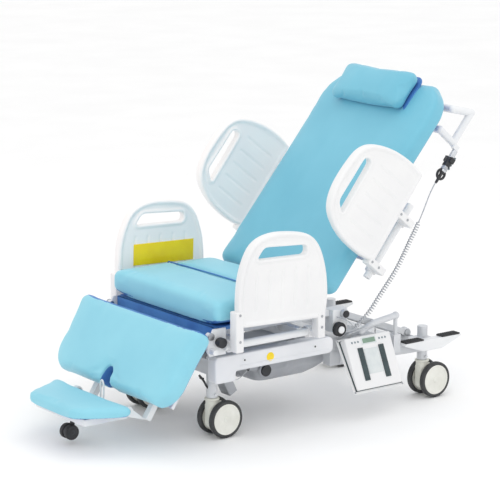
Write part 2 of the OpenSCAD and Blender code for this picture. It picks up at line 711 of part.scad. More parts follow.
// Seat frame
inner_y = 200;
inner_w = 30;
inner_low_z = 340;
inner_top_z = 362;
inner_past = 23;
inner_x = [-34, seat_rear_x + inner_past];
side_rail_r = 13;
side_rail_in = 47;
side_rail_y = seat_arm_y - side_rail_in;
side_rail_z = 323;
side_rail_x = [-15, 352];
cross_w = 30;
front_cross_in = 59;
cross_xs = [-15, seat_front_x - front_cross_in, 350];
outrigger_w = 20;
outrigger_xs = [40, 280];
column_in = 45;
column_out = 17;
column_x = [seat_rear_x - column_in, seat_rear_x + column_out];
column_low_z = 286;
hinge_ear_y = 192;
leg_plate_in = 14;
leg_plate_y = side_rail_y - leg_plate_in;
leg_plate_t = 8;
leg_knuckle_r = 11;
board_in = 26;
pad_r = 28;
hip_pad_r = 18;
seat_corner_r = 18;
seat_pad_r = 20;
hip_corner_r = 30;
seam_corner_r = 8;
module seat_frame() color(grey) in_frame() difference() {
    union() {
        both_sides() {
            block([inner_x.x, inner_y, inner_low_z], [inner_x.y, inner_y + inner_w, inner_top_z]);
            bar([side_rail_x.x, side_rail_y, side_rail_z], [side_rail_x.y, side_rail_y, side_rail_z],
                side_rail_r);
            for (x = outrigger_xs)
                block([x, inner_y, side_rail_z - side_rail_r / 2],
                    [x + outrigger_w, side_rail_y, inner_low_z]);
            block([column_x.x, inner_y, column_low_z], [column_x.y, rear_arm_y - arm_side, inner_top_z]);
            front_y = front_arm_y + arm_side;
            bar_y(seat_front_x, seat_pivot_z, front_y, front_y + ear_t, ear_r);
            block([cross_xs[1] + cross_w - over, front_y, seat_pivot_z - ear_r / 2],
                [seat_front_x, front_y + ear_t, pad_bottom_z - board_t]);
            bar_y(back_hinge_x, back_hinge_z, hinge_ear_y, inner_y, ear_r);
            block([back_hinge_x - ear_r, hinge_ear_y, inner_low_z],
                [back_hinge_x + ear_r, inner_y + over, back_hinge_z]);
            leg_side();
            block([inner_x.x, inner_y, inner_low_z], [inner_x.x + cross_w, leg_plate_y + over, inner_top_z]);
        }
        head_y = roller_y - roller_w - run_gap;
        bar_y(roller_x, roller_z, head_y, -inner_y, pin_r);
        bar_y(roller_x, roller_z, head_y - pin_head_t, head_y, pin_head_r);
        for (x = cross_xs)
            block([x, -inner_y - over, inner_low_z], [x + cross_w, inner_y + over, pad_bottom_z - board_t]);
    }
    both_sides() {
        bar_y(seat_front_x, seat_pivot_z, front_arm_y, inner_y, pin_bore_r);
        bar_y(seat_rear_x, seat_pivot_z, inner_y + inner_w / 2, rear_arm_y, pin_bore_r);
        bar_y(back_hinge_x, back_hinge_z, inner_y - inner_w, back_hinge_x, pin_bore_r);
        bar_y(leg_hinge_x, leg_hinge_z, inner_y, back_hinge_x, pin_bore_r);
    }
    bar_y(lock_knob.x, lock_knob.y, -leg_plate_y - leg_plate_t - over, -leg_plate_y + over, pin_bore_r);
}
leg_side_x = [-76, -66, -3];
leg_side_z = [297, 314, 384];
module leg_side() {
    plate([[leg_hinge_x + leg_knuckle_r, leg_side_z.z], [leg_side_x.z, leg_side_z.z],
        [leg_side_x.z, leg_side_z.x], [leg_side_x.y, leg_side_z.x], [leg_side_x.x, leg_side_z.y],
        [leg_hinge_x - leg_knuckle_r, leg_hinge_z - leg_knuckle_r / 2], [leg_hinge_x, leg_hinge_z]],
        leg_plate_y, leg_plate_y + leg_plate_t);
    bar_y(leg_hinge_x, leg_hinge_z, leg_plate_y, leg_plate_y + leg_plate_t, leg_knuckle_r);
    bar_y(stop_pin.x, stop_pin.y, leg_plate_y, leg_plate_y + leg_plate_t + stop_pin_l, stop_pin_r);
}
module seat_board() color(shade) in_frame()
    block([seat_x + board_in, -leg_plate_y + over, pad_bottom_z - board_t],
        [hip_x + hip_pad_l - board_in / 2, leg_plate_y - over, pad_bottom_z - soft_gap]);
module seat_pad() color(aqua) in_frame() translate([seat_x, 0, seat_top_z])
    cushion(seat_pad_l, seat_pad_w, seat_pad_w, seat_pad_t, seat_pad_r, crown, seat_corner_r, seam_corner_r);
module hip_pad() color(aqua) in_frame() translate([hip_x, 0, hip_top_z])
    cushion(hip_pad_l, seat_pad_w, seat_pad_w, hip_top_z - pad_bottom_z, hip_pad_r, crown, seam_corner_r,
        hip_corner_r);
box_share = 0.574;
box_y = 120;
box_z = [292, 352];
module control_box() color(dark) in_frame() {
    box_l = (cross_xs[1] - gear_x - gear_r) * box_share;
    block([cross_xs[1] - box_l, -box_y, box_z.x], [cross_xs[1], box_y, box_z.y]);
}
lock_knob = [-34, 342];
lock_knob_r = 17;
lock_grip_l = 30;
lock_lever_l = 18;
lock_knob_t = 15;
stop_pin = [-62, 314];
stop_pin_r = 9;
stop_pin_l = 26;
module leg_lock_knob() color(dark) in_frame() {
    bar_y(lock_knob.x, lock_knob.y, -leg_plate_y - leg_plate_t - lock_grip_l, -leg_plate_y, pin_r);
    bar_y(lock_knob.x, lock_knob.y, -leg_plate_y - leg_plate_t - lock_grip_l,
        -leg_plate_y - leg_plate_t - run_gap, lock_knob_r);
    block([lock_knob.x, -leg_plate_y - leg_plate_t - lock_grip_l, lock_knob.y - pin_r / 2],
        [lock_knob.x + lock_lever_l, -leg_plate_y - leg_plate_t - lock_knob_t, lock_knob.y + pin_r / 2]);
}

// Side arms: one moulding used four times, on posts that fold outwards round a rail
slot_rise_share = 0.725;
slot_x_share = 0.155;
slot_in_share = 0.75;
slot_out_share = 0.3;
slot_drop_share = 0.86;
slot_lip = 12;
slot_rs = [5, 26, 15, 15];
groove_x_share = 0.16;
arm_in = 60;
arm_base_z = 391;
seat_post_tops = [446, 396];
rim_w = 17;
groove_w = 3;
groove_t = 3;
groove_l = 128;
groove_low = 48;
groove_count = 5;
groove_pitch = 52;
post_w = 30;
post_lip = 1.5;
post_xs = [-13, 318];
post_ring_r = 20;
ring_bore_r = side_rail_r + pin_clear;
arm_curve_shares = [[0, 0], [-0.033, 0.16], [-0.037, 0.36], [-0.022, 0.55], [0.02, 0.72], [0.09, 0.87],
    [0.19, 0.955], [0.32, 0.995], [0.45, 1], [0.6, 0.985], [0.72, 0.955], [0.81, 0.89], [0.875, 0.79],
    [0.925, 0.65], [0.96, 0.49], [0.978, 0.3], [0.975, 0.15], [0.957, 0]];
function arm_outline() = [for (p = concat(smooth(arm_curve_shares, 3), [arm_curve_shares[17]]))
    [p.x * arm_l, p.y * arm_h]];
function slot_outline() = let (x = arm_l * slot_x_share, z = arm_h * slot_rise_share) rounded([[x, z],
    [x + slot_h * slot_in_share, z + slot_h],
    [x + slot_l - slot_h * slot_out_share, z + slot_h * slot_drop_share], [x + slot_l, z]],
    slot_rs);
module flat_arm(t) rotate([90, 0, 0]) translate([0, 0, -t / 2]) linear_extrude(t) children();
// The panel stands on its lower edge at the origin, with its middle plane at y = 0
module arm_panel() difference() {
    union() {
        flat_arm(arm_web_t) polygon(arm_outline());
        difference() {
            flat_arm(arm_t) polygon(arm_outline());
            flat_arm(arm_t + over) offset(delta = -rim_w) polygon(arm_outline());
        }
        flat_arm(arm_t) offset(delta = slot_lip) polygon(slot_outline());
    }
    flat_arm(arm_t + over) polygon(slot_outline());
    for (side = [-1, 1]) for (i = [0 : groove_count - 1])
        translate([arm_l * groove_x_share + i * groove_pitch, side * arm_web_t / 2, groove_low])
            translate([-groove_w / 2, -groove_t / 2, 0]) cube([groove_w, groove_t, groove_l]);
}
module seat_arm() color(white) in_frame() {
    translate([seat_x + arm_in, seat_arm_y, arm_base_z]) rotate([0, arm_slope, 0]) arm_panel();
    for (i = [0, 1]) let (x = post_xs[i], ring_x = max(x, leg_side_x.z + run_gap)) difference() {
        union() {
            bar([ring_x, side_rail_y, side_rail_z], [x + post_w, side_rail_y, side_rail_z], post_ring_r);
            block([ring_x, side_rail_y, side_rail_z - post_ring_r / 2],
                [x + post_w, seat_arm_y + arm_t / 2, side_rail_z + post_ring_r / 2]);
            block([x, seat_arm_y - arm_t / 2 - post_lip, side_rail_z - post_ring_r / 2],
                [x + post_w, seat_arm_y + arm_t / 2 + post_lip, seat_post_tops[i]]);
        }
        bar([x - over, side_rail_y, side_rail_z], [x + post_w + over, side_rail_y, side_rail_z], ring_bore_r);
    }
}
module seat_arm_far() seat_arm();
module seat_arm_near() mirror([0, 1, 0]) seat_arm();
sign_l = 250;
sign_h = 74;
sign_t = 2;
sign_x = 50;
sign_z = 76;
module arm_plate() color(yellow) in_frame()
    translate([seat_x + arm_in, seat_arm_y, arm_base_z]) rotate([0, arm_slope, 0])
        block([sign_x, -arm_web_t / 2 - sign_t, sign_z], [sign_x + sign_l, -arm_web_t / 2, sign_z + sign_h]);

// Backrest
tube_r = 13;
tube_y = 178;
tube_n = over - back_pad_t - board_t - tube_r;
tube_s = [-6, 800];
back_board_s = [16, 776];
back_board_w = 380;
rung_s = [40, 300, 560, 790];
back_arm_at = [542.5, 542.3];
back_arm_turn = 52;
back_rail_n = -118;
back_rail_in = 41;
back_rail_y = arm_y - back_rail_in;
back_rail_s = [128, 420];
back_post_s = [150, 340];
back_post_w = 26;
back_post_h = 72;
back_rung_s = [190, 386];
hinge_bar_r = 14;
back_low_corner_r = 36;
back_top_corner_r = 96;
back_rung_r = 8.5;
rung_n = over - back_pad_t - board_t - back_rung_r;
module on_back_frame() translate([back_x, 0, back_z]) rotate([0, -recline, 0]) children();
module back_frame() color(white) in_frame() {
    on_back_frame() {
        block([back_board_s.x, -back_board_w / 2, -back_pad_t - board_t],
            [back_board_s.y, back_board_w / 2, -back_pad_t - soft_gap]);
        both_sides() {
            bar([tube_s.x, tube_y, tube_n], [tube_s.y, tube_y, tube_n], tube_r);
            for (s = back_rung_s) bar([s, tube_y, tube_n], [s, back_rail_y, back_rail_n], back_rung_r);
            bar([back_rail_s.x, back_rail_y, back_rail_n], [back_rail_s.y, back_rail_y, back_rail_n],
                side_rail_r);
        }
        for (s = rung_s) bar([s, -tube_y, rung_n], [s, tube_y, rung_n], back_rung_r);
    }
    both_sides() difference() {
        union() {
            bar_y(back_hinge_x, back_hinge_z, hinge_link_y, hinge_link_y + ear_t, hinge_bar_r);
            hinge_link();
        }
        bar_y(back_hinge_x, back_hinge_z, tube_y, hinge_ear_y + ear_t, pin_bore_r);
    }
}
hinge_link_y = hinge_ear_y - ear_t - run_gap;
module hinge_link() {
    p = on_back(tube_s.x + tube_r, tube_n);
    reach = hinge_bar_r * sin(recline);
    plate([[back_hinge_x - reach / 2, back_hinge_z + reach], p + [-tube_r, tube_r] / 2,
        p + [tube_r, -tube_r] / 2, [back_hinge_x + reach / 2, back_hinge_z - reach]],
        hinge_link_y, hinge_link_y + ear_t);
}
module back_pad() color(aqua) in_frame() on_back_frame()
    cushion(back_pad_l, back_pad_w, back_pad_w, back_pad_t, pad_r, crown, back_low_corner_r,
        back_top_corner_r);
pillow_s = 688;
pillow_n = 5.7;
pillow_r = 18;
pillow_dome = 18;
pillow_corner_r = 30;
module pillow() color(aqua) in_frame() on_back_frame()
    translate([pillow_s, 0, pillow_n + pillow_t - pillow_dome])
        cushion(pillow_l, pillow_w, pillow_w, pillow_t - pillow_dome, pillow_r, pillow_dome, pillow_corner_r,
            pillow_corner_r);
module back_arm() color(white) in_frame() {
    translate([back_arm_at.x, arm_y, back_arm_at.y]) rotate([0, -back_arm_turn, 0]) arm_panel();
    on_back_frame() for (s = back_post_s) difference() {
        union() {
            bar([s, back_rail_y, back_rail_n], [s + back_post_w, back_rail_y, back_rail_n], post_ring_r);
            block([s, back_rail_y, back_rail_n - post_ring_r / 2],
                [s + back_post_w, arm_y + arm_t / 2, back_rail_n + post_ring_r / 2]);
            block([s, arm_y - arm_t / 2 - post_lip, back_rail_n - post_ring_r / 2],
                [s + back_post_w, arm_y + arm_t / 2 + post_lip, back_rail_n + back_post_h]);
        }
        bar([s - over, back_rail_y, back_rail_n], [s + back_post_w + over, back_rail_y, back_rail_n],
            ring_bore_r);
    }
}
module back_arm_far() back_arm();
module back_arm_near() mirror([0, 1, 0]) back_arm();

// Push handle: a tube frame on each side joined by a grip bar
handle_y = 262;
handle_low_s = 712;
handle_brace_s = 798;
holder_w = 12;
module push_handle() color(white) in_frame() on_back_frame() {
    both_sides() {
        near = -back_pad_t - board_t - handle_r - run_gap;
        run([[handle_brace_s, tube_y + tube_r, near], [handle_brace_s, handle_y, near],
            [handle_s, handle_y, -handle_reach], [handle_low_s, handle_y, -handle_reach],
            [handle_low_s, handle_y, near], [handle_low_s, tube_y + tube_r, near]], handle_r);
    }
    bar([handle_s, -handle_y, -handle_reach], [handle_s, handle_y, -handle_reach], handle_r);
    block([handset_s.y, handset_y - holder_w / 2, handset_n - holder_w / 2],
        [handle_low_s, handset_y + holder_w / 2, -handle_reach]);
}

// Handset hung under the near side of the push handle
handset_n = -206;
handset_y = -270;
handset_s = [606, 694];
handset_w = 40;
handset_t = 22;
ring_r = 17;
ring_t = 7;
relief_s = 560;
relief_r = 4;
grip_r = 9;
ring_tube_r = 4.6;
ring_off = 10;
button_side = 8;
button_r = 4;
button_t = 3;
button_pitch = 14;
button_in = 21;
module handset() color(dark) in_frame() on_back_frame() {
    block([handset_s.x, handset_y - handset_w / 2, handset_n - handset_t / 2],
        [handset_s.y, handset_y + handset_w / 2, handset_n + handset_t / 2]);
    bar([handset_s.x - ring_t, handset_y, handset_n], [handset_s.x + ring_t, handset_y, handset_n], grip_r);
    bar([relief_s, handset_y, handset_n], [handset_s.x, handset_y, handset_n], relief_r);
    translate([handset_s.x - ring_off, handset_y, handset_n]) rotate([90, 0, 0])
        rotate_extrude() translate([ring_r, 0]) circle(r = ring_tube_r);
}
button_s = handset_s.x + button_in;
module handset_buttons() color(grey) in_frame() on_back_frame() for (i = [0 : 3]) for (k = [-1, 1])
    translate([button_s + button_pitch * i, handset_y + k * button_side,
        handset_n - handset_t / 2 - button_t])
        cylinder(r = button_r, h = button_t);

// Leg section
leg_beam_y = 150;
leg_beam_w = 24;
leg_board_in = 20;
leg_ear_t = 8;
leg_beam_n = -leg_pad_t - board_t;
leg_beam_t = 20;
leg_beam_over = 40;
leg_gusset = 10;
leg_lug_in = 10;
leg_lug_l = 70;
leg_board_gap = 4;
leg_taper = 12;
leg_pad_r = 26;
leg_top_corner_r = 28;
leg_low_corner_r = 90;
module on_leg_frame() translate([leg_x, 0, leg_z]) rotate([0, -leg_drop, 0]) rotate([0, 0, 180]) children();
module leg_frame() color(white) in_frame() difference() {
    union() {
        on_leg_frame() {
            block([leg_board_in, -leg_plate_y + leg_board_gap, leg_beam_n],
                [leg_pad_l - leg_board_in, leg_plate_y - leg_board_gap, leg_beam_n + board_t - soft_gap]);
            both_sides() {
                block([leg_board_in, leg_beam_y, leg_beam_n - leg_beam_t],
                    [leg_pad_l + leg_beam_over, leg_beam_y + leg_beam_w, leg_beam_n]);
                block([-leg_lug_in, leg_plate_y - run_gap - leg_ear_t, leg_beam_n],
                    [leg_lug_l - leg_lug_in, leg_plate_y - run_gap, leg_beam_n + board_t - soft_gap]);
            }
        }
        both_sides() {
            bar_y(leg_hinge_x, leg_hinge_z, leg_plate_y - run_gap - leg_ear_t, leg_plate_y - run_gap,
                leg_knuckle_r);
            bar_y(foot_hinge_x, foot_hinge_z, leg_beam_y, leg_beam_y + leg_ear_t, ear_r);
            plate([on_leg(leg_pad_l + leg_gusset, leg_beam_n), on_leg(leg_pad_l + leg_beam_over, leg_beam_n),
                [foot_hinge_x, foot_hinge_z + ear_r], [foot_hinge_x, foot_hinge_z - ear_r],
                on_leg(leg_pad_l + leg_beam_over, leg_beam_n - leg_beam_t),
                on_leg(leg_pad_l + leg_gusset, leg_beam_n - leg_beam_t)], leg_beam_y, leg_beam_y + leg_ear_t);
        }
    }
    both_sides() {
        bar_y(leg_hinge_x, leg_hinge_z, leg_beam_y, leg_plate_y, pin_bore_r);
        bar_y(foot_hinge_x, foot_hinge_z, 0, leg_plate_y, pin_bore_r);
    }
}
module leg_pad() color(aqua) in_frame() on_leg_frame()
    cushion(leg_pad_l, leg_pad_w, leg_pad_w - leg_taper, leg_pad_t, leg_pad_r, crown, leg_top_corner_r,
        leg_low_corner_r);
gear_r = 24;
gear_x = -4;
gear_y = 90;
module leg_actuator() color(grey) in_frame()
    bar_y(gear_x, inner_low_z - gear_r, -gear_y, gear_y, gear_r);

// Foot section
foot_frame_z = 98;
foot_front_share = 0.62;
foot_pad_r = 14;
foot_rear_corner_r = 30;
foot_tip_corner_r = 44;
foot_plate_in = 46;
foot_plate_gap = 6;
foot_plate_side = 3;
foot_lug_in = 10;
module foot_frame() color(white) in_frame() {
    difference() {
        block([foot_tip_x + foot_plate_in, -leg_beam_y + foot_plate_side, foot_frame_z],
            [foot_pad_x - foot_plate_gap, leg_beam_y - foot_plate_side, foot_pad_z - foot_pad_t - soft_gap]);
        translate([small_x, 0, foot_frame_z - over])
            cylinder(r = small_neck_r + axle_fit, h = small_stem_top_z + run_gap - foot_frame_z + over);
    }
    both_sides() difference() {
        union() {
            bar_y(foot_hinge_x, foot_hinge_z, leg_beam_y - run_gap - leg_ear_t, leg_beam_y - run_gap, ear_r);
            block([foot_pad_x - foot_lug_in, leg_beam_y - run_gap - leg_ear_t, foot_frame_z],
                [foot_hinge_x, leg_beam_y - run_gap, foot_pad_z - foot_pad_t - soft_gap]);
        }
        bar_y(foot_hinge_x, foot_hinge_z, 0, leg_plate_y, pin_bore_r);
    }
}
module foot_pad() color(aqua) in_frame() translate([foot_pad_x, 0, foot_pad_z]) rotate([0, 0, 180])
    cushion(foot_pad_l, foot_pad_w, foot_pad_w * foot_front_share, foot_pad_t, foot_pad_r, crown / 2,
        foot_rear_corner_r, foot_tip_corner_r);
small_x = -400;
small_r = 25;
small_z = 42;
small_w = 16;
small_gap = 28;
small_trail = 14;
small_neck_r = 9;
small_neck_z = 70;
small_collar_r = 13;
small_collar_t = 8;
small_stem_top_z = 110;
small_axle_r = 3;
fork_t = 8;
fork_r = 21;
module foot_caster_fork() color(dark) in_frame() difference() {
    union() {
        translate([small_x, 0, small_neck_z])
            cylinder(r = small_neck_r, h = small_stem_top_z - small_neck_z);
        translate([small_x, 0, foot_frame_z - run_gap - small_collar_t])
            cylinder(r = small_collar_r, h = small_collar_t);
        block([small_x - small_neck_r, -fork_t / 2, small_z], [small_x + small_neck_r / 2, fork_t / 2,
            small_neck_z + over]);
        bar_y(small_x - small_trail, small_z, -fork_t / 2, fork_t / 2, fork_r);
    }
    bar_y(small_x - small_trail, small_z, -fork_t, fork_t, small_axle_r + axle_fit);
}
module foot_caster_wheels() color(dark) in_frame() {
    bar_y(small_x - small_trail, small_z, -small_gap / 2, small_gap / 2, small_axle_r);
    for (side = [-1, 1])
        bar_y(small_x - small_trail, small_z, side * small_gap / 2 - small_w / 2,
            side * small_gap / 2 + small_w / 2, small_r);
}

// Curly cord from the handset to the seat frame's column
cord_r = 2.1;
curl_r = 6.6;
curl_count = 46;
curl_rings = 8;
cord_sides = 6;
lead_points = [[900, -270, 751], [892, -270, 742], [872, -270, 710], [848, -271, 664], [826, -272, 626]];
curl_points = [[826, -272, 626], [810, -276, 604], [779, -282, 566], [741, -288, 515], [704, -293, 470],
    [664, -297, 430], [626, -300, 392], [588, -300, 350], [552, -296, 318], [530, -288, 300]];
tail_points = [[530, -288, 300], [520, -290, 316], [506, -286, 329], [494, -273, 336], [490, -260, 337],
    [490, -249, 337]];
curl_path = smooth(curl_points, 12);
function reach_to(points, i) = i == 0 ? 0 : reach_to(points, i - 1) + norm(points[i] - points[i - 1]);
curl_reach = [for (i = [0 : len(curl_path) - 1]) reach_to(curl_path, i)];
curl_total = curl_reach[len(curl_path) - 1];
function at_reach(s) = lookup_point(s, [for (i = [0 : len(curl_path) - 1]) if (curl_reach[i] <= s) i]);
function lookup_point(s, held) =
    let (i = min(len(curl_path) - 2, held[len(held) - 1]))
    let (t = (s - curl_reach[i]) / (curl_reach[i + 1] - curl_reach[i]))
    curl_path[i] + (curl_path[i + 1] - curl_path[i]) * t;
curl_steps = curl_count * curl_rings;
curl_grow = 6;
curl = [for (k = [0 : curl_steps])
    let (s = curl_total * k / curl_steps, p = at_reach(s),
        t = unit(at_reach(min(curl_total, s + curl_r)) - at_reach(max(0, s - curl_r))),
        u = unit(cross(t, [0, 1, 0])), v = cross(t, u), a = 360 * k / curl_rings,
        r = curl_r * min(1, k / curl_grow, (curl_steps - k) / curl_grow))
    p + r * (u * cos(a) + v * sin(a))];
cord_path = concat(smooth(lead_points, 4), curl, [for (i = [1 : len(tail_points) - 1]) tail_points[i]]);
module curly_cord() color(grey) in_frame() sweep(cord_path, cord_r, cord_sides);
module console_cable() color(grey) in_frame() sweep(smooth(cable_points, 5), cable_r, 8);
curl_gap = min([for (i = [0 : 3 : len(curl) - 1]) for (j = [i + curl_rings - 1 : i + curl_rings + 1])
    if (j < len(curl) - curl_grow && i > curl_grow) norm(curl[j] - curl[i])]) - 2 * cord_r;
echo(least_gap_of_the_curls = curl_gap, cord_length = reach_to_end(cord_path, len(cord_path) - 1));
function reach_to_end(points, n) = [for (i = 0, s = 0; i <= n; i = i + 1,
    s = s + (i <= n ? norm(points[i] - points[i - 1]) : 0)) s][n];

base_frame();
side_cover_near();
side_cover_far();
drive_housing();
drive_cap();
brake_shaft();
brake_pedal_near();
brake_pedal_far();
pedal_pads();
buffer_roller();
caster_stems();
housing_foot_near();
housing_foot_far();
housing_head_near();
housing_head_far();
wheels_foot_near();
wheels_foot_far();
wheels_head_near();
wheels_head_far();
lift_arms_front();
lift_arms_rear();
base_pivot_pins();
front_seat_pins();
lift_motor();
lift_rod();
console_bracket();
console_case();
console_panel();
console_display();
console_strips();
console_cable();
seat_frame();
section_pins();
seat_board();
seat_pad();
hip_pad();
control_box();
seat_arm_near();
seat_arm_far();
arm_plate();
leg_lock_knob();
back_frame();
back_pad();
pillow();
push_handle();
handset();
handset_buttons();
back_arm_near();
back_arm_far();
leg_frame();
leg_pad();
leg_actuator();
foot_frame();
foot_pins();
foot_pad();
foot_caster_fork();
foot_caster_wheels();
curly_cord();
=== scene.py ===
"""Mobile examination table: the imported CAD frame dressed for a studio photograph."""
from math import acos, atan2, cos, hypot, pi, radians, sin, tan

import bmesh
import bpy
from mathutils import Matrix, Vector
from mathutils.geometry import intersect_point_line


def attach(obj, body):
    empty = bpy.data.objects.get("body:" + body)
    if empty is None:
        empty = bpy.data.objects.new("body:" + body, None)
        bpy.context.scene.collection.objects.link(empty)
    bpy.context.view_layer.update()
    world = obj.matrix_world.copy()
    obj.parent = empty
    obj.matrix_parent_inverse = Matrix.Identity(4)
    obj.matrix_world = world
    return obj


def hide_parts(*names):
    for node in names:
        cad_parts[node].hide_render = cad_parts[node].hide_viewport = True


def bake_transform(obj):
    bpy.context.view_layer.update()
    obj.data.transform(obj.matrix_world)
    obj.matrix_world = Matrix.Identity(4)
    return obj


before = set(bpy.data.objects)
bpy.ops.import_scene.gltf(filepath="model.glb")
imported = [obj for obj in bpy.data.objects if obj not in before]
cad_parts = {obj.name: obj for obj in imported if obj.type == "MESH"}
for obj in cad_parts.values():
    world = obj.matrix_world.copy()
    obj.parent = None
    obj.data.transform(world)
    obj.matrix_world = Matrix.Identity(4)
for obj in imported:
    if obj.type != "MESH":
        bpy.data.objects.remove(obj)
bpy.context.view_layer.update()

MM = 0.001
MID_X = 291.57  # station of the middle of the footprint, in mm
RECLINE = radians(50)
LEG_DROP = radians(57)
WHEELBASE = 867


# Places
def at(x, y, z):
    """A point given by its station from the foot caster stem, in mm."""
    return Vector(((x - MID_X) * MM, y * MM, z * MM))


def turned(origin, angle, half_turn=False):
    """Frame at a station point whose X axis rises by angle."""
    m = Matrix.Translation(at(*origin)) @ Matrix.Rotation(-angle, 4, "Y")
    return m @ Matrix.Rotation(pi, 4, "Z") if half_turn else m


BACK = turned((383, 0, 455), RECLINE)
LEG = turned((-139, 0, 411), LEG_DROP, True)
FOOT = turned((-312, 0, 156), 0, True)
SEAT = turned((-49, 0, 475), 0)
HIP = turned((192, 0, 470), 0)
LEVEL = turned((0, 0, 0), 0)


# Camera, fitted to the photograph: lens in mm, place in metres, tilt and heading in degrees
LENS, SENSOR = 157.4, 36
EYE = (-4.2836, -5.773, 2.089)
EYE_TILT, EYE_HEADING = 12.09, -36.71
camera = bpy.data.cameras.new("camera")
camera.sensor_width = SENSOR
camera.lens = LENS
eye = bpy.data.objects.new("camera", camera)
eye.location = EYE
eye.rotation_euler = (radians(90 - EYE_TILT), 0, radians(EYE_HEADING))
bpy.context.collection.objects.link(eye)
bpy.context.scene.camera = eye


# Materials
def srgb(code):
    """Linear colour of an sRGB hex code."""
    parts = [int(code[i:i + 2], 16) / 255 for i in (1, 3, 5)]
    return [p / 12.92 if p <= 0.04045 else ((p + 0.055) / 1.055) ** 2.4 for p in parts] + [1]


def add(nodes, kind, **values):
    """Adds a node and sets its properties, or its inputs by name."""
    made = nodes.new("ShaderNode" + kind)
    for key, value in values.items():
        if hasattr(made, key):
            setattr(made, key, value)
        else:
            made.inputs[key.replace("_", " ")].default_value = value
    return made


def finish(name, base, patch, rough=0.4, grain=1.0, bump=0.1, patch_mm=120, cells=False, metal=0.0,
           coat=0.0, sheen=0.0, specular=0.5, spread=0.1):
    """A surface whose colour drifts from base to patch over patch_mm and whose grain is grain mm across."""
    material = bpy.data.materials.new(name)
    material.use_nodes = True
    nodes, link = material.node_tree.nodes, material.node_tree.links.new
    shader = nodes["Principled BSDF"]
    shader.inputs["Metallic"].default_value = metal
    shader.inputs["Coat Weight"].default_value = coat
    shader.inputs["Coat Roughness"].default_value = 0.2
    shader.inputs["Sheen Weight"].default_value = sheen
    shader.inputs["Specular IOR Level"].default_value = specular
    place = add(nodes, "TexCoord")
    drift = add(nodes, "TexNoise", Scale=1 / (patch_mm * MM), Detail=3.0, Roughness=0.55)
    link(place.outputs["Object"], drift.inputs["Vector"])
    tint = add(nodes, "Mix", data_type="RGBA")
    tint.inputs[6].default_value = srgb(base)
    tint.inputs[7].default_value = srgb(patch)
    sharpen = add(nodes, "MapRange", From_Min=0.35, From_Max=0.65)
    link(drift.outputs["Fac"], sharpen.inputs["Value"])
    link(sharpen.outputs["Result"], tint.inputs["Factor"])
    link(tint.outputs[2], shader.inputs["Base Color"])
    if cells:
        fine = add(nodes, "TexVoronoi", feature="SMOOTH_F1", Scale=1 / (grain * MM))
        fine_out = fine.outputs["Distance"]
    else:
        fine = add(nodes, "TexNoise", Scale=1 / (grain * MM), Detail=4.0, Roughness=0.6)
        fine_out = fine.outputs["Fac"]
    link(place.outputs["Object"], fine.inputs["Vector"])
    gloss = add(nodes, "MapRange", To_Min=rough - spread / 2, To_Max=rough + spread / 2)
    link(fine_out, gloss.inputs["Value"])
    link(gloss.outputs["Result"], shader.inputs["Roughness"])
    raised = add(nodes, "Bump", Strength=bump, Distance=grain * MM * 0.4)
    link(fine_out, raised.inputs["Height"])
    link(raised.outputs["Normal"], shader.inputs["Normal"])
    return material


# Polyurethane-coated upholstery fabric with a fine pressed grain
vinyl = finish("coated_upholstery_aqua", "#8FD2E3", "#86CBDE", 0.46, 1.3, 0.16, 260, True, sheen=0.12)
# The same fabric in deep blue, as painted shade on end panels, undersides and gaps
vinyl_painted_shade = finish("coated_upholstery_painted_gap_shade", "#4C86C6", "#3C70B4", 0.55, 1.3, 0.16, 90, True)
# The same fabric on the backrest and pillow, painted a deeper tone as shade
vinyl_back_painted_shade = finish("coated_upholstery_aqua_back_painted_shade", "#74BED4", "#6CB7CE", 0.44, 1.3, 0.16, 260, True,
                    sheen=0.12)
# Polyester and epoxy powder coat with a slight orange peel
powder_white = finish("powder_coat_white", "#EBECED", "#E4E6E8", 0.3, 2.2, 0.05, 180, coat=0.25)
powder_grey = finish("powder_coat_light_grey", "#D6D8DB", "#CDD0D4", 0.34, 2.2, 0.05, 150, coat=0.2)
# Moulded ABS with a fine spark-eroded texture
abs_white = finish("moulded_abs_white", "#ECECEC", "#E6E6E7", 0.42, 0.5, 0.08, 220)
# A lighter, warmer copy of the white ABS for the far arms: painted light against their shade and the blue
# bounce from the pads
abs_far_painted_light = finish("moulded_abs_far_painted_light", "#FAF6F4", "#F4F0EF", 0.42, 0.5, 0.08, 220)
abs_grey = finish("moulded_abs_grey", "#B4B7BC", "#A8ABB1", 0.45, 0.6, 0.12, 110)
abs_cover = finish("moulded_abs_cover", "#E8E9EC", "#DFE1E5", 0.4, 0.5, 0.08, 160)
cream = finish("moulded_nylon_cream", "#DFDFD5", "#D5D5C9", 0.4, 0.6, 0.08, 60)
black = finish("moulded_nylon_black", "#26272A", "#303236", 0.42, 0.6, 0.15, 40)
# Thermoplastic rubber tread and natural rubber pads
tyre = finish("tyre_rubber", "#343536", "#424344", 0.68, 0.9, 0.25, 30)
rubber = finish("pad_rubber", "#2B2B2D", "#38383A", 0.7, 0.8, 0.3, 30)
# Zinc-plated and ground steel
steel = finish("zinc_plated_steel", "#B3B6BA", "#A2A5AA", 0.3, 0.7, 0.08, 25, metal=1.0)
hub_grey = finish("hub_disc_plastic", "#E9E9E2", "#DEDED6", 0.36, 0.6, 0.06, 45)
cord_skin = finish("cord_polyurethane", "#C4C6C9", "#B2B5B9", 0.4, 0.6, 0.1, 12)
plate_yellow = finish("plate_yellow_film", "#FADC00", "#F2D000", 0.32, 1.0, 0.04, 60, coat=0.3)
strip_grey = finish("strip_ribbed_rubber", "#465558", "#3C494C", 0.6, 0.8, 0.3, 25)
display_film = finish("display_window_film", "#6F8C7A", "#7D9A86", 0.16, 1.0, 0.03, 20, coat=0.6)
panel_film = finish("panel_membrane_film", "#D9DEDE", "#CFD6D7", 0.3, 0.8, 0.08, 30)
key_film = finish("key_silicone", "#7E8C92", "#8B989E", 0.5, 0.6, 0.1, 8)
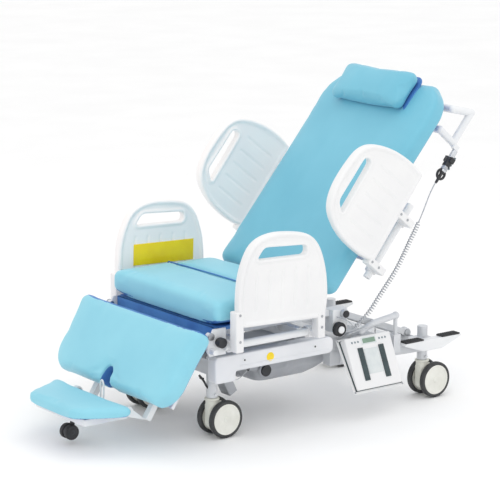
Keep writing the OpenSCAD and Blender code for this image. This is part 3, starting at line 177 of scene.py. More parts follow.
silver_tube = finish("satin_anodised_tube", "#D5D8DC", "#C6CACF", 0.28, 0.8, 0.05, 60, metal=0.6)


# Mesh tools
def piece(name, shape, material, body, *replaced, smooth=40):
    """Makes a shown piece from a bmesh or mesh and lets it ride on a CAD body."""
    if isinstance(shape, bmesh.types.BMesh):
        mesh = bpy.data.meshes.new(name)
        shape.to_mesh(mesh)
        shape.free()
    else:
        mesh = shape
    mesh.name = name
    for one in material if isinstance(material, list) else [material]:
        mesh.materials.append(one)
    made = bpy.data.objects.new(name, mesh)
    bpy.context.collection.objects.link(made)
    if smooth:
        mesh.shade_smooth()
        mesh.set_sharp_from_angle(angle=radians(smooth))
    if body:
        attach(made, body)
    if replaced:
        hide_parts(*replaced)
    return made


def merged(*shapes):
    """One bmesh from several, each given as a bmesh or (bmesh, material index)."""
    whole = bmesh.new()
    for shape in shapes:
        part, index = shape if isinstance(shape, tuple) else (shape, None)
        if index is not None:
            for face in part.faces:
                face.material_index = index
        mesh = bpy.data.meshes.new("part")
        part.to_mesh(mesh)
        part.free()
        whole.from_mesh(mesh)
        bpy.data.meshes.remove(mesh)
    return whole


def moved(shape, matrix):
    """The shape itself, carried by a matrix."""
    bmesh.ops.transform(shape, matrix=matrix, verts=shape.verts)
    return shape


def scaled(shape):
    """A shape drawn in mm brought to metres."""
    return moved(shape, Matrix.Scale(MM, 4))


def block(low, high, bevel=0, segments=3):
    """A box in mm with rounded edges."""
    shape = bmesh.new()
    low, high = Vector(low), Vector(high)
    bmesh.ops.create_cube(shape, size=1)
    size = high - low
    bmesh.ops.scale(shape, vec=size, verts=shape.verts)
    bmesh.ops.translate(shape, vec=(low + high) / 2, verts=shape.verts)
    if bevel:
        bmesh.ops.bevel(shape, geom=shape.edges[:], offset=bevel, segments=segments, profile=0.5,
                        affect="EDGES", clamp_overlap=True)
    return scaled(shape)


def lathe(profile, matrix, steps=48):
    """A turned shape: (radius, height) points in mm about the matrix's Z axis."""
    shape = bmesh.new()
    rings = []
    for k in range(steps):
        turn = 2 * pi * k / steps
        c, s = cos(turn), sin(turn)
        rings.append([shape.verts.new((r * MM * c, r * MM * s, z * MM)) for r, z in profile])
    for k in range(steps):
        a, b = rings[k], rings[(k + 1) % steps]
        for i in range(len(profile) - 1):
            shape.faces.new((a[i], b[i], b[i + 1], a[i + 1]))
    bmesh.ops.remove_doubles(shape, verts=shape.verts, dist=1e-6)
    for end, flip in ((0, True), (-1, False)):
        if profile[end][0] > 0 and profile[0] != profile[-1]:
            ring = [r[end] for r in rings]
            shape.faces.new(ring[::-1] if flip else ring)
    bmesh.ops.recalc_face_normals(shape, faces=shape.faces)
    return moved(shape, matrix)


def facing(origin, axis):
    """A frame at a point in metres whose Z axis lies along axis."""
    turn = Vector(axis).normalized().to_track_quat("Z", "Y")
    return Matrix.Translation(origin) @ turn.to_matrix().to_4x4()


def rounded_rod(r, low, high, edge=1.0):
    """Profile of a round rod from low to high with eased ends, in mm."""
    near = edge * 0.3
    return [(0, low), (r - edge, low), (r - near, low + near), (r, low + edge), (r, high - edge),
            (r - near, high - near), (r - edge, high), (0, high)]


def sweep(points, r, sides=12):
    """A round tube along points in metres; r in mm or a function of the share along it."""
    shape = bmesh.new()
    rings = []
    side = None
    count = len(points)
    for i, p in enumerate(points):
        way = (points[min(count - 1, i + 1)] - points[max(0, i - 1)]).normalized()
        if side is None:
            side = way.orthogonal().normalized()
        side = (side - way * side.dot(way)).normalized()
        up = way.cross(side)
        size = (r(i / (count - 1)) if callable(r) else r) * MM
        turns = [2 * pi * k / sides for k in range(sides)]
        rings.append([shape.verts.new(p + size * (side * cos(t) + up * sin(t))) for t in turns])
    for a, b in zip(rings, rings[1:]):
        for k in range(sides):
            shape.faces.new((a[k], a[(k + 1) % sides], b[(k + 1) % sides], b[k]))
    shape.faces.new(rings[0][::-1])
    shape.faces.new(rings[-1])
    bmesh.ops.recalc_face_normals(shape, faces=shape.faces)
    return shape


def smooth_path(points, steps):
    """Catmull-Rom points through the given ones."""
    out = []
    last = len(points) - 1
    for i in range(last):
        a, b, c, d = points[max(0, i - 1)], points[i], points[i + 1], points[min(last, i + 2)]
        for k in range(steps):
            t = k / steps
            out.append((2 * b + (c - a) * t + (2 * a - 5 * b + 4 * c - d) * t * t
                        + (3 * b - a - 3 * c + d) * t ** 3) / 2)
    return out + [points[-1]]


def eased(points, radii, steps=6):
    """An outline in mm whose corners are arcs of the given radii."""
    out = []
    count = len(points)
    for i, r in enumerate(radii):
        b = Vector(points[i])
        if r <= 0:
            out.append(b)
            continue
        u = (Vector(points[i - 1]) - b).normalized()
        v = (Vector(points[(i + 1) % count]) - b).normalized()
        half = acos(max(-1, min(1, u.dot(v)))) / 2
        centre = b + (u + v).normalized() * r / sin(half)
        p, q = b + u * r / tan(half) - centre, b + v * r / tan(half) - centre
        sweep_angle = pi - 2 * half
        sign = 1 if p.x * q.y - p.y * q.x > 0 else -1
        for k in range(steps + 1):
            t = sign * sweep_angle * k / steps
            out.append(centre + Vector((p.x * cos(t) - p.y * sin(t), p.x * sin(t) + p.y * cos(t))))
    return out


def baked(holder):
    """The mesh of an object with its modifiers; the object itself is removed."""
    mesh = bpy.data.meshes.new_from_object(holder.evaluated_get(bpy.context.evaluated_depsgraph_get()))
    bpy.data.objects.remove(holder)
    return mesh


def sheet_metal(outlines, thick, bevel, matrix):
    """A flat shape with holes, in its frame's X and Z, with rounded edges; sizes in mm."""
    curve = bpy.data.curves.new("outline", "CURVE")
    curve.dimensions = "2D"
    curve.fill_mode = "BOTH"
    curve.extrude = (thick / 2 - bevel) * MM
    curve.bevel_depth = bevel * MM
    curve.bevel_resolution = 2
    curve.offset = -bevel * MM
    for outline in outlines:
        spline = curve.splines.new("POLY")
        spline.use_cyclic_u = True
        spline.points.add(len(outline) - 1)
        for point, (x, z) in zip(spline.points, outline):
            point.co = (x * MM, z * MM, 0, 1)
    holder = bpy.data.objects.new("outline", curve)
    bpy.context.collection.objects.link(holder)
    mesh = baked(holder)
    shape = bmesh.new()
    shape.from_mesh(mesh)
    bpy.data.meshes.remove(mesh)
    bmesh.ops.remove_doubles(shape, verts=shape.verts, dist=1e-6)
    moved(shape, Matrix.Rotation(pi / 2, 4, "X"))
    return moved(shape, matrix)


def remeshed(shape, voxel, smoothing):
    """The shape as one blended skin of voxel mm, smoothed a number of times."""
    mesh = bpy.data.meshes.new("skin")
    shape.to_mesh(mesh)
    shape.free()
    holder = bpy.data.objects.new("skin", mesh)
    bpy.context.collection.objects.link(holder)
    skin = holder.modifiers.new("skin", "REMESH")
    skin.mode = "VOXEL"
    skin.voxel_size = voxel * MM
    if smoothing:
        ease = holder.modifiers.new("ease", "SMOOTH")
        ease.factor = 0.5
        ease.iterations = smoothing
    done = baked(holder)
    bpy.data.meshes.remove(mesh)
    return done


def bm_of(mesh):
    """A bmesh in place of a mesh."""
    shape = bmesh.new()
    shape.from_mesh(mesh)
    bpy.data.meshes.remove(mesh)
    return shape


# Pads
def cushion(length, width_a, width_b, thick, r, crown, corner_a, corner_b):
    """A crowned pad whose sides draw in; its top edge line lies at z = 0. Sizes in mm."""
    rings, rows, end_rows = 56, 30, 8
    stations = []
    for i in range(end_rows):
        turn = pi / 2 * i / end_rows
        stations.append((r * (1 - cos(turn)), r * (1 - sin(turn))))
    body_rows = [(r + (length - 2 * r) * (1 - cos(pi * i / rows)) / 2, 0) for i in range(rows + 1)]
    stations = stations + body_rows + [(length - x, inset) for x, inset in reversed(stations)]
    shape = bmesh.new()
    loops = []
    power = 0.3  # how square the cross section is
    draw_in = 5  # how far the long sides pull in, in mm

    def cut(x, radius):
        """What a rounded corner takes off the half width at x mm from the end."""
        return 0 if x >= radius else radius - (radius ** 2 - (radius - x) ** 2) ** 0.5

    for x, inset in stations:
        share = x / length
        dome = 4 * share * (1 - share)
        half = (width_a + (width_b - width_a) * share) / 2
        cut_a, cut_b = cut(x + inset, corner_a), cut(length - x + inset, corner_b)
        half_w = half - inset - draw_in * dome - cut_a - cut_b
        half_t = thick / 2 - inset
        loop = []
        for k in range(rings):
            turn = 2 * pi * (k + 0.5) / rings
            c, s = cos(turn), sin(turn)
            y = half_w * (abs(c) ** power) * (1 if c > 0 else -1)
            z = half_t * (abs(s) ** power) * (1 if s > 0 else -1)
            rise = crown * dome * (1 - (y / half) ** 2) if z > 0 else 0
            loop.append(shape.verts.new((x * MM, y * MM, (z - thick / 2 + rise) * MM)))
        loops.append(loop)
    for a, b in zip(loops, loops[1:]):
        for k in range(rings):
            shape.faces.new((a[k], b[k], b[(k + 1) % rings], a[(k + 1) % rings]))
    shape.faces.new(loops[0])
    shape.faces.new(loops[-1][::-1])
    bmesh.ops.recalc_face_normals(shape, faces=shape.faces)
    return shape


PUFF_PRESSURE, PUFF_STEPS, HELD_HIGH = 4.0, 20, 3
SWELL = 3  # how much smaller than its cover a pad starts, in mm


def stuffed(name, shape, matrix, floor_z, voxel, cap):
    """Puffs a pad by cloth simulation, held flat where it lies on its board, at floor_z mm."""
    mesh = remeshed(shape, voxel, 3)
    holder = bpy.data.objects.new(name, mesh)
    bpy.context.collection.objects.link(holder)
    start = [v.co.copy() for v in mesh.vertices]
    held = holder.vertex_groups.new(name="held")
    for v in mesh.vertices:
        if v.co.z < (floor_z + HELD_HIGH) * MM:
            held.add([v.index], 1.0, "REPLACE")
    cloth = holder.modifiers.new("stuffing", "CLOTH")
    cloth.settings.quality = 4
    cloth.settings.use_pressure = True
    cloth.settings.uniform_pressure_force = PUFF_PRESSURE
    cloth.settings.effector_weights.gravity = 0
    cloth.settings.vertex_group_mass = "held"
    cloth.collision_settings.use_collision = False
    scene = bpy.context.scene
    for number in range(1, PUFF_STEPS + 1):
        scene.frame_set(number)
        bpy.context.view_layer.update()
    puffed = holder.evaluated_get(bpy.context.evaluated_depsgraph_get()).to_mesh()
    moves = [v.co - s for v, s in zip(puffed.vertices, start)]
    holder.evaluated_get(bpy.context.evaluated_depsgraph_get()).to_mesh_clear()
    holder.modifiers.clear()
    for v, s, move in zip(mesh.vertices, start, moves):
        far = move.length
        v.co = s + (move * (cap * MM / far) if far > cap * MM else move)
    scene.frame_set(1)
    rounder = holder.modifiers.new("rounder", "SUBSURF")
    rounder.levels = 1
    done = baked(holder)
    bpy.data.meshes.remove(mesh)
    done.transform(matrix)
    return done


def pad(name, node, body, matrix, length, width_a, width_b, thick, r, crown, corners, cap, deep, voxel=7.0,
        carve=None, fabric=vinyl):
    """A finished pad that stands for a CAD soft solid; deep(centre, normal) picks the faces painted deep
    blue as shade.
    """
    less = 2 * SWELL
    shape = cushion(length - less, width_a - less, width_b - less, thick - SWELL, r, crown - 2, *corners)
    moved(shape, Matrix.Translation((SWELL * MM, 0, -SWELL / 2 * MM)))
    if carve:
        shape = carve(shape)
    mesh = stuffed(name, shape, matrix, SWELL / 2 - thick, voxel, cap)
    mesh.materials.clear()
    made = piece(name, mesh, [fabric, vinyl_painted_shade], body, node, smooth=0)
    mesh.shade_smooth()
    back = matrix.inverted()
    turn = back.to_3x3()
    for face in mesh.polygons:
        if deep(back @ face.center / MM, turn @ face.normal):
            face.material_index = 1


SEAT_W, BACK_W, LEG_W, FOOT_W, PILLOW_W = 620, 616, 694, 480, 372
SEAT_L, HIP_L, BACK_L, LEG_L, FOOT_L, PILLOW_L = 238, 174, 836, 278, 182, 150
LEG_TAPER, FOOT_FRONT_SHARE = 12, 0.62
NOTCH_R, NOTCH_DEEP = 25, 40  # the opening in the leg pad's lower edge
NOTCH_LOW, NOTCH_HIGH, NOTCH_PAST, NOTCH_EDGE, NOTCH_RIM = -130, 60, 60, 7, 8


def notched(shape):
    """Cuts the round opening into the leg pad's lower edge."""
    mesh = bpy.data.meshes.new("pad")
    shape.to_mesh(mesh)
    shape.free()
    holder = bpy.data.objects.new("pad", mesh)
    middle = LEG_L - NOTCH_DEEP
    rod = lathe(rounded_rod(NOTCH_R, NOTCH_LOW, NOTCH_HIGH, 4), Matrix.Translation((middle * MM, 0, 0)))
    slot_cut = block((middle, -NOTCH_R, NOTCH_LOW), (LEG_L + NOTCH_PAST, NOTCH_R, NOTCH_HIGH))
    tool_mesh = bpy.data.meshes.new("tool")
    merged(rod, slot_cut).to_mesh(tool_mesh)
    tool = bpy.data.objects.new("tool", tool_mesh)
    for one in (holder, tool):
        bpy.context.collection.objects.link(one)
    cutter = holder.modifiers.new("cut", "BOOLEAN")
    cutter.object = tool
    cutter.operation = "DIFFERENCE"
    cutter.solver = "EXACT"
    cutter.use_self = True
    done = baked(holder)
    bpy.data.objects.remove(tool)
    return bm_of(done)


def underneath(steepness):
    """Marks the faces that look down more steeply than this, for the painted shade."""
    return lambda centre, normal: normal.z < -steepness


def leg_shade_faces(centre, normal):
    """Marks the leg pad's upper end, its underside and the wall of its notch for the painted shade."""
    if normal.x < -0.75 or normal.z < -0.6:
        return True
    along = centre.x - LEG_L + NOTCH_DEEP
    edge = NOTCH_R + NOTCH_EDGE
    inside = centre.z < -NOTCH_RIM
    round_end = hypot(along, centre.y) < edge
    straight = centre.x > LEG_L - NOTCH_DEEP and abs(centre.y) < edge and abs(normal.y) > 0.4
    return inside and (round_end or straight)


pad("seat_cushion", "seat_pad", "seat", SEAT, SEAT_L, SEAT_W, SEAT_W, thick=88, r=20, crown=9,
    corners=(18, 8), cap=5.0, deep=underneath(0.5))
pad("hip_cushion", "hip_pad", "seat", HIP, HIP_L, SEAT_W, SEAT_W, thick=83, r=18, crown=9,
    corners=(8, 30), cap=5.0, deep=underneath(0.5))
pad("back_cushion", "back_pad", "back", BACK, BACK_L, BACK_W, BACK_W, thick=80, r=28, crown=9,
    corners=(36, 124), cap=6.0, deep=underneath(0.6), voxel=8.0, fabric=vinyl_back_painted_shade)
pad("leg_cushion", "leg_pad", "leg", LEG, LEG_L, LEG_W, LEG_W - LEG_TAPER, thick=84, r=24, crown=9,
    corners=(28, 90), cap=5.0, deep=leg_shade_faces, carve=notched)
pad("foot_cushion", "foot_pad", "foot", FOOT, FOOT_L, FOOT_W, FOOT_W * FOOT_FRONT_SHARE, thick=36,
    r=14, crown=4.5, corners=(30, 44), cap=4.0, deep=underneath(0.7), voxel=6.0)
PILLOW_S, PILLOW_RISE = 688, 5.7 + 66 - 18  # along the backrest, and from its top line to the pillow's
PILLOW = BACK @ Matrix.Translation((PILLOW_S * MM, 0, PILLOW_RISE * MM))
pad("head_cushion", "pillow", "back", PILLOW, PILLOW_L, PILLOW_W, PILLOW_W, thick=48, r=20, crown=18,
    corners=(30, 30), cap=6.0, deep=underneath(0.6), voxel=5.0, fabric=vinyl_back_painted_shade)

# Deep blue band under the pillow's edge: painted shade in the gap below it
PILLOW_SHADE_HALF, PILLOW_SHADE_CORNER, PILLOW_SHADE_T, PILLOW_SHADE_BEVEL, PILLOW_SHADE_Z = 184, 28, 6, 1.5, -50
pillow_shade_line = eased([(0, -PILLOW_SHADE_HALF), (PILLOW_L, -PILLOW_SHADE_HALF), (PILLOW_L, PILLOW_SHADE_HALF), (0, PILLOW_SHADE_HALF)],
                  [PILLOW_SHADE_CORNER] * 4, 8)
PILLOW_SHADE = PILLOW @ Matrix.Translation((0, 0, PILLOW_SHADE_Z * MM)) @ Matrix.Rotation(radians(90), 4, "X")
pillow_shade = sheet_metal([[(p.x, p.y) for p in pillow_shade_line]], PILLOW_SHADE_T, PILLOW_SHADE_BEVEL, PILLOW_SHADE)
piece("pillow_painted_shade", pillow_shade, vinyl_painted_shade, "back")

# Welts along the facing edges of the seat and hip pads: real piping, coloured deep blue as painted shade of
# the gap
WELT_R, WELT_HALF = 2.4, 306
WELT_PLACES = ((184, 472), (197, 467))
welts = []
for x, z in WELT_PLACES:
    end = [(WELT_HALF, -40), (WELT_HALF, -14), (WELT_HALF - 10, -2), (WELT_HALF - 40, 0)]
    line = [(x, -y, z + drop) for y, drop in end]
    line += [(x, 0, z + 3)]
    line += [(x, y, z + drop) for y, drop in end[::-1]]
    welts.append(sweep(smooth_path([at(*p) for p in line], 6), WELT_R, 10))
piece("pad_welts_in_painted_shade", merged(*welts), vinyl_painted_shade, "seat")

# Deep blue sheet in the gap under the seat pad's front edge: painted shade
SHADE_SHEET_X, SHADE_SHEET_HALF, SHADE_SHEET_TOP, SHADE_SHEET_BEVEL = -40, 280, 386.4, 0.8
shade_sheet = merged(block((SHADE_SHEET_X, -SHADE_SHEET_HALF, 383), (-23.4, SHADE_SHEET_HALF, SHADE_SHEET_TOP), SHADE_SHEET_BEVEL),
              block((SHADE_SHEET_X, -SHADE_SHEET_HALF, 342), (-36.5, SHADE_SHEET_HALF, SHADE_SHEET_TOP), SHADE_SHEET_BEVEL))
piece("seat_front_painted_shade", moved(shade_sheet, LEVEL), vinyl_painted_shade, "seat")

# White catch that stands up from the foot rest into the leg pad's notch
CATCH_R = 3.2
CATCH = [(-316, 9, 108), (-300, 9, 112), (-288, 9, 130), (-286, 9, 176), (-286, 5, 188), (-286, 0, 192)]
catch = [sweep(smooth_path([at(x, side * y, z) for x, y, z in CATCH], 6), CATCH_R, 12) for side in (-1, 1)]
piece("leg_catch", merged(*catch), powder_white, "foot")

# Side arms
ARM_L, ARM_H, ARM_T, WEB_T, ARM_Y, SEAT_ARM_Y = 354, 298, 34, 22, 363, 347
RIM_W, SLOT_LIP = 17, 12
ARM_SHARES = [
    (0, 0), (-0.033, 0.16), (-0.037, 0.36), (-0.022, 0.55), (0.02, 0.72), (0.09, 0.87), (0.19, 0.955),
    (0.32, 0.995), (0.45, 1), (0.6, 0.985), (0.72, 0.955), (0.81, 0.89), (0.875, 0.79), (0.925, 0.65),
    (0.96, 0.49), (0.978, 0.3), (0.975, 0.15), (0.957, 0)]
GROOVE_X, GROOVE_PITCH, GROOVE_W, GROOVE_D, GROOVE_LOW, GROOVE_HIGH = 57, 52, 8, 2.6, 48, 176
GROOVE_FADE, GROOVE_SPACES = 6, 4.5
SLOT_SHARES = (0.155, 0.725)
SLOT = [(0, 0), (28.5, 38), (196.6, 32.7), (208, 0)]
SLOT_CORNERS = [5, 26, 15, 15]
LEG_PLATE_END = -2
SLEEVE_IN, SLEEVE_OUT, POST_HALF = 13.3, 20, 10
SCREW_R, SCREW_HIGH = 4.6, 2.2


def clearance(point, outline):
    """How far a point is from an outline."""
    best = 1e9
    for i in range(len(outline)):
        near, share = intersect_point_line(point, outline[i - 1], outline[i])
        if share < 0:
            near = Vector(outline[i - 1])
        elif share > 1:
            near = Vector(outline[i])
        best = min(best, (point - near.xy).length)
    return best


def grown(outline, by):
    """The outline moved outwards by so many mm, without the corners that would cross."""
    out = []
    count = len(outline)
    area = sum(outline[i - 1][0] * outline[i][1] - outline[i][0] * outline[i - 1][1] for i in range(count))
    sign = 1 if area > 0 else -1
    for i in range(count):
        a, b, c = Vector(outline[i - 1]), Vector(outline[i]), Vector(outline[(i + 1) % count])
        u, v = (b - a).normalized(), (c - b).normalized()
        normal = Vector((u.y + v.y, -u.x - v.x)).normalized()
        lean = max(0.4, normal.dot(Vector((u.y, -u.x))))
        out.append(b + normal * by * sign / lean)
    return [p for p in out if clearance(p, outline) > 0.97 * abs(by)]


def arm_panel():
    """The moulded side panel, standing on its lower edge, with a rim, a hand slot and shallow grooves."""
    outline = [v.xy for v in smooth_path([Vector((x * ARM_L, z * ARM_H, 0)) for x, z in ARM_SHARES], 4)]
    x, z = ARM_L * SLOT_SHARES[0], ARM_H * SLOT_SHARES[1]
    slot_line = eased([(x + across, z + up) for across, up in SLOT], SLOT_CORNERS)
    here = Matrix.Identity(4)
    shape = merged(
        sheet_metal([grown(outline, -4), grown(slot_line, 3)], WEB_T, 3, here),
        sheet_metal([outline, grown(outline, -RIM_W)], ARM_T, 8, here),
        sheet_metal([grown(slot_line, SLOT_LIP), slot_line], ARM_T - 3, 5, here))
    mesh = remeshed(shape, 2.4, 14)
    for v in mesh.vertices:
        px, py, pz = v.co / MM
        on_web = abs(abs(py) - WEB_T / 2) < 2.5
        if on_web and GROOVE_LOW - GROOVE_FADE < pz < GROOVE_HIGH + GROOVE_FADE:
            off = abs((px - GROOVE_X + GROOVE_PITCH / 2) % GROOVE_PITCH - GROOVE_PITCH / 2)
            if off < GROOVE_W and -GROOVE_PITCH / 2 < px - GROOVE_X < GROOVE_SPACES * GROOVE_PITCH:
                low_end = max(0, (pz - GROOVE_LOW + GROOVE_FADE) / 10)
                high_end = max(0, (GROOVE_HIGH + GROOVE_FADE - pz) / 10)
                end = min(1, low_end, high_end)
                valley = 0.5 + 0.5 * cos(pi * off / GROOVE_W)
                v.co.y -= (1 if py > 0 else -1) * GROOVE_D * MM * end * valley
    return mesh


def arm_post(rail, x, width, top, side, arm_y):
    """The bracket that carries an arm on its rail: a sleeve round the rail and a screwed upright."""
    y_rail, z_rail = rail
    start = max(x, LEG_PLATE_END)
    long = x + width - start
    sleeve = lathe([(SLEEVE_IN, 0), (SLEEVE_OUT - 1, 0), (SLEEVE_OUT, 1), (SLEEVE_OUT, long - 1),
                    (SLEEVE_OUT - 1, long), (SLEEVE_IN, long), (SLEEVE_IN, 0)],
                   facing(Vector((start * MM, side * y_rail * MM, z_rail * MM)), (1, 0, 0)), 40)
    foot_y = sorted((side * (y_rail + 14), side * (arm_y + ARM_T / 2 - 1)))
    shelf = block((start + 1, foot_y[0], z_rail - 9), (x + width - 1, foot_y[1], z_rail + 9), 3)
    upright_y = sorted((side * (arm_y - ARM_T / 2 - 1.5), side * (arm_y + ARM_T / 2 + 1.5)))
    upright = block((x, upright_y[0], z_rail - POST_HALF), (x + width, upright_y[1], top), 4)
    screws = []
    for z in (z_rail + 26, top - POST_HALF):
        place = Vector(((x + width / 2) * MM, side * (arm_y + ARM_T / 2 + 1) * MM, z * MM))
        screws.append((lathe(rounded_rod(SCREW_R, 0, SCREW_HIGH, 1), facing(place, (0, side, 0)), 20), 1))
    return [(sleeve, 0), (shelf, 0), (upright, 0)] + screws


# Kind, distance from the middle, lower corner and slope of the panel, then its posts (start, width, top)
# and its rail (y, z), which lie along the backrest for the back arms
SEAT_ARM_CORNER, SEAT_ARM_SLOPE = (11, 391), -2
ARM_ROWS = (
    ("seat", SEAT_ARM_Y, SEAT_ARM_CORNER, SEAT_ARM_SLOPE, [(-13, 30, 446), (318, 30, 396)], (300, 323)),
    ("back", ARM_Y, (542.5, 542.3), 52, [(150, 26, -46), (340, 26, -46)], (322, -118)))
panel = arm_panel()
for side, end in ((-1, "near"), (1, "far")):
    # The far arms take the lighter ABS copy with painted light
    skin = abs_white if side < 0 else abs_far_painted_light
    for kind, arm_y, (x, z), slope, posts, rail in ARM_ROWS:
        at_frame = turned((x, side * arm_y, z), radians(slope))
        body = "%s_arm_%s" % (kind, end)
        flat = bm_of(panel.copy())
        moved(flat, at_frame)
        whole = [(flat, 0)]
        for x, width, top in posts:
            parts = arm_post(rail, x, width, top, side, arm_y)
            here = LEVEL if kind == "seat" else BACK
            whole += [(moved(part, here), index) for part, index in parts]
        piece(kind + "_arm_" + end + "_moulding", merged(*whole), [skin, steel], body, body)
bpy.data.meshes.remove(panel)

# Plain yellow plate on the inner face of the far seat arm
PLATE_LOW, PLATE_HIGH, PLATE_OUT, PLATE_IN = (50, 76), (300, 150), 2, 0.2
FAR_ARM = turned((SEAT_ARM_CORNER[0], SEAT_ARM_Y, SEAT_ARM_CORNER[1]), radians(SEAT_ARM_SLOPE))
plate = block((PLATE_LOW[0], -WEB_T / 2 - PLATE_OUT, PLATE_LOW[1]),
              (PLATE_HIGH[0], -WEB_T / 2 + PLATE_IN, PLATE_HIGH[1]), 0.8)
piece("yellow_plate", moved(plate, FAR_ARM), plate_yellow, "seat_arm_far", "arm_plate")

# Twin casters
TYRE = [(51, -8.5), (54.5, -10.6), (59.4, -10.2), (61.8, -7.6), (62.5, -4), (62.5, 4), (61.8, 7.6),
        (59.4, 10.2), (54.5, 10.6), (51, 8.5), (51, -8.5)]
HUB = [(0, 9), (9, 9), (10.5, 8.4), (11, 7), (30, 6.4), (44, 6.4), (45.5, 7.2), (47, 8.8), (51.4, 9),
       (52, 7.5), (52, -7.5), (51.4, -8.6), (44, -6.5), (0, -6.5)]
HOOD = [(-20, 86), (-21, 40), (8, 18), (52, 16), (76, 50), (70, 92), (30, 112), (-20, 112)]
HOOD_CORNERS = [12, 18, 24, 28, 30, 30, 16, 2]
HOOD_T, NECK_R, NECK_TOP, COLLAR_R, COLLAR_TOP = 34, 21, 127, 25, 134
WHEEL_R, WHEEL_OFF, TRAIL = 62.5, 33, 31
FOOT_CASTER_Y, HEAD_CASTER_Y = 212, 253
CASTERS = (("foot_near", 0, -FOOT_CASTER_Y), ("foot_far", 0, FOOT_CASTER_Y),
           ("head_near", WHEELBASE, -HEAD_CASTER_Y), ("head_far", WHEELBASE, HEAD_CASTER_Y))
for node, x, y in CASTERS:
    wheels = []
    for side in (-1, 1):
        hub_frame = facing(at(x + TRAIL, y + side * WHEEL_OFF, WHEEL_R), (0, side, 0))
        wheels += [(lathe(TYRE, hub_frame, 72), 0), (lathe(HUB, hub_frame, 72), 1)]
    axle = lathe(rounded_rod(6, -24, 24), facing(at(x + TRAIL, y, WHEEL_R), (0, 1, 0)), 24)
    wheels.append((axle, 2))
    piece("wheel_pair_" + node, merged(*wheels), [tyre, hub_grey, steel], "wheels_" + node, "wheels_" + node)
    hood = merged(sheet_metal([eased(HOOD, HOOD_CORNERS)], HOOD_T, 7, Matrix.Identity(4)),
                  lathe([(0, 60), (NECK_R, 60), (NECK_R, NECK_TOP), (0, NECK_TOP)], Matrix.Identity(4)),
                  lathe([(0, NECK_TOP), (COLLAR_R, NECK_TOP), (COLLAR_R, COLLAR_TOP), (0, COLLAR_TOP)],
                        Matrix.Identity(4)))
    mesh = remeshed(hood, 2.2, 4)
    mesh.transform(Matrix.Translation(at(x, y, 0)))
    piece("caster_hood_" + node, mesh, cream, "caster_" + node, "housing_" + node)

# Weighing console
CONSOLE_W, CONSOLE_H, TOP_T, LOW_T, BACK_T = 196, 176, 38, 14, 3
RIM, SCREW_OUT_X, SCREW_OUT_Z = 9, 4.5, 4
PROUD, SUNK = 1.2, 0.2  # how far the plain panel stands out, and how deep every panel sits
CONSOLE = Matrix.Translation(at(478, -272, 254)) @ Matrix.Rotation(radians(-32), 4, "X")
FALL = atan2(TOP_T - LOW_T, CONSOLE_H)
FRONT = CONSOLE @ Matrix.Translation((0, -TOP_T * MM, 0)) @ Matrix.Rotation(FALL, 4, "X")


def wedge(x_low, x_high, profile, bevel):
    """A prism along X from a (y, z) profile in mm, with rounded edges."""
    shape = bmesh.new()
    ends = [[shape.verts.new((x, y, z)) for y, z in profile] for x in (x_low, x_high)]
    shape.faces.new(ends[0])
    shape.faces.new(ends[1][::-1])
    for k in range(len(profile)):
        j = (k + 1) % len(profile)
        shape.faces.new((ends[0][j], ends[0][k], ends[1][k], ends[1][j]))
    bmesh.ops.recalc_face_normals(shape, faces=shape.faces)
    bmesh.ops.bevel(shape, geom=shape.edges[:], offset=bevel, segments=3, profile=0.5, affect="EDGES",
                    clamp_overlap=True)
    return scaled(shape)


case = wedge(0, CONSOLE_W, [(-BACK_T, 0), (-TOP_T, 0), (-LOW_T, -CONSOLE_H), (-BACK_T, -CONSOLE_H)], 4)
back_plate = block((-RIM, -BACK_T, -CONSOLE_H - RIM), (CONSOLE_W + RIM, 0, RIM), 1.2)
screws = []
for x in (-SCREW_OUT_X, CONSOLE_W + SCREW_OUT_X):
    for z in (SCREW_OUT_Z, -CONSOLE_H - SCREW_OUT_Z):
        here = facing(Vector((x * MM, -BACK_T * MM, z * MM)), (0, -1, 0))
        screws.append(lathe(rounded_rod(3.4, 0, 1.6, 0.8), here, 16))
# Dark grey band round the case's base: painted shade between the case and its back plate
SHADE_BAND_OUT, SHADE_BAND_Y = 1.2, -10
shade_band = block((-SHADE_BAND_OUT, SHADE_BAND_Y, -CONSOLE_H - SHADE_BAND_OUT),
               (CONSOLE_W + SHADE_BAND_OUT, -BACK_T, SHADE_BAND_OUT), 0.8)
housing = merged((case, 0), (back_plate, 0), (shade_band, 2), *[(one, 1) for one in screws])
piece("console_housing", moved(housing, CONSOLE), [abs_white, steel, strip_grey], "base", "console_case")

# A plain panel lies between the ribbed strips, with the display and its keys above them
fascia = block((67, -PROUD, -131), (129, SUNK, -45), 0.5)
piece("console_fascia", moved(fascia, FRONT), panel_film, "base", "console_panel")
KEY_R, KEY_HIGH, KEY_Z = 3.6, 1.5, -18
keys = [lathe(rounded_rod(KEY_R, 0, KEY_HIGH, 0.7), facing(Vector((x * MM, 0, KEY_Z * MM)), (0, -1, 0)), 20)
        for x in (26, 39, 52, 144, 157, 170)]
window = merged((block((71, -1.9, -26), (125, SUNK, -10), 0.8), 0),
                (block((66, -1.1, -30), (130, SUNK, -6), 0.5), 1), *[(key, 2) for key in keys])
piece("console_window", moved(window, FRONT), [display_film, panel_film, key_film], "base",
      "console_display")
STRIP_W, STRIP_LOW, STRIP_HIGH, RIB_EDGE, RIB_W, RIB_PITCH = 22, -151, -39, 1.5, 2.4, 5
strips = []
for x in (42, 132):
    strips.append(block((x, -3, STRIP_LOW), (x + STRIP_W, SUNK, STRIP_HIGH), 1))
    strips += [block((x + RIB_EDGE, -4, z), (x + STRIP_W - RIB_EDGE, -2.6, z + RIB_W), 0.5)
               for z in range(STRIP_LOW + 3, STRIP_HIGH - 3, RIB_PITCH)]
piece("console_ribbed_strips", moved(merged(*strips), FRONT), strip_grey, "base", "console_strips")

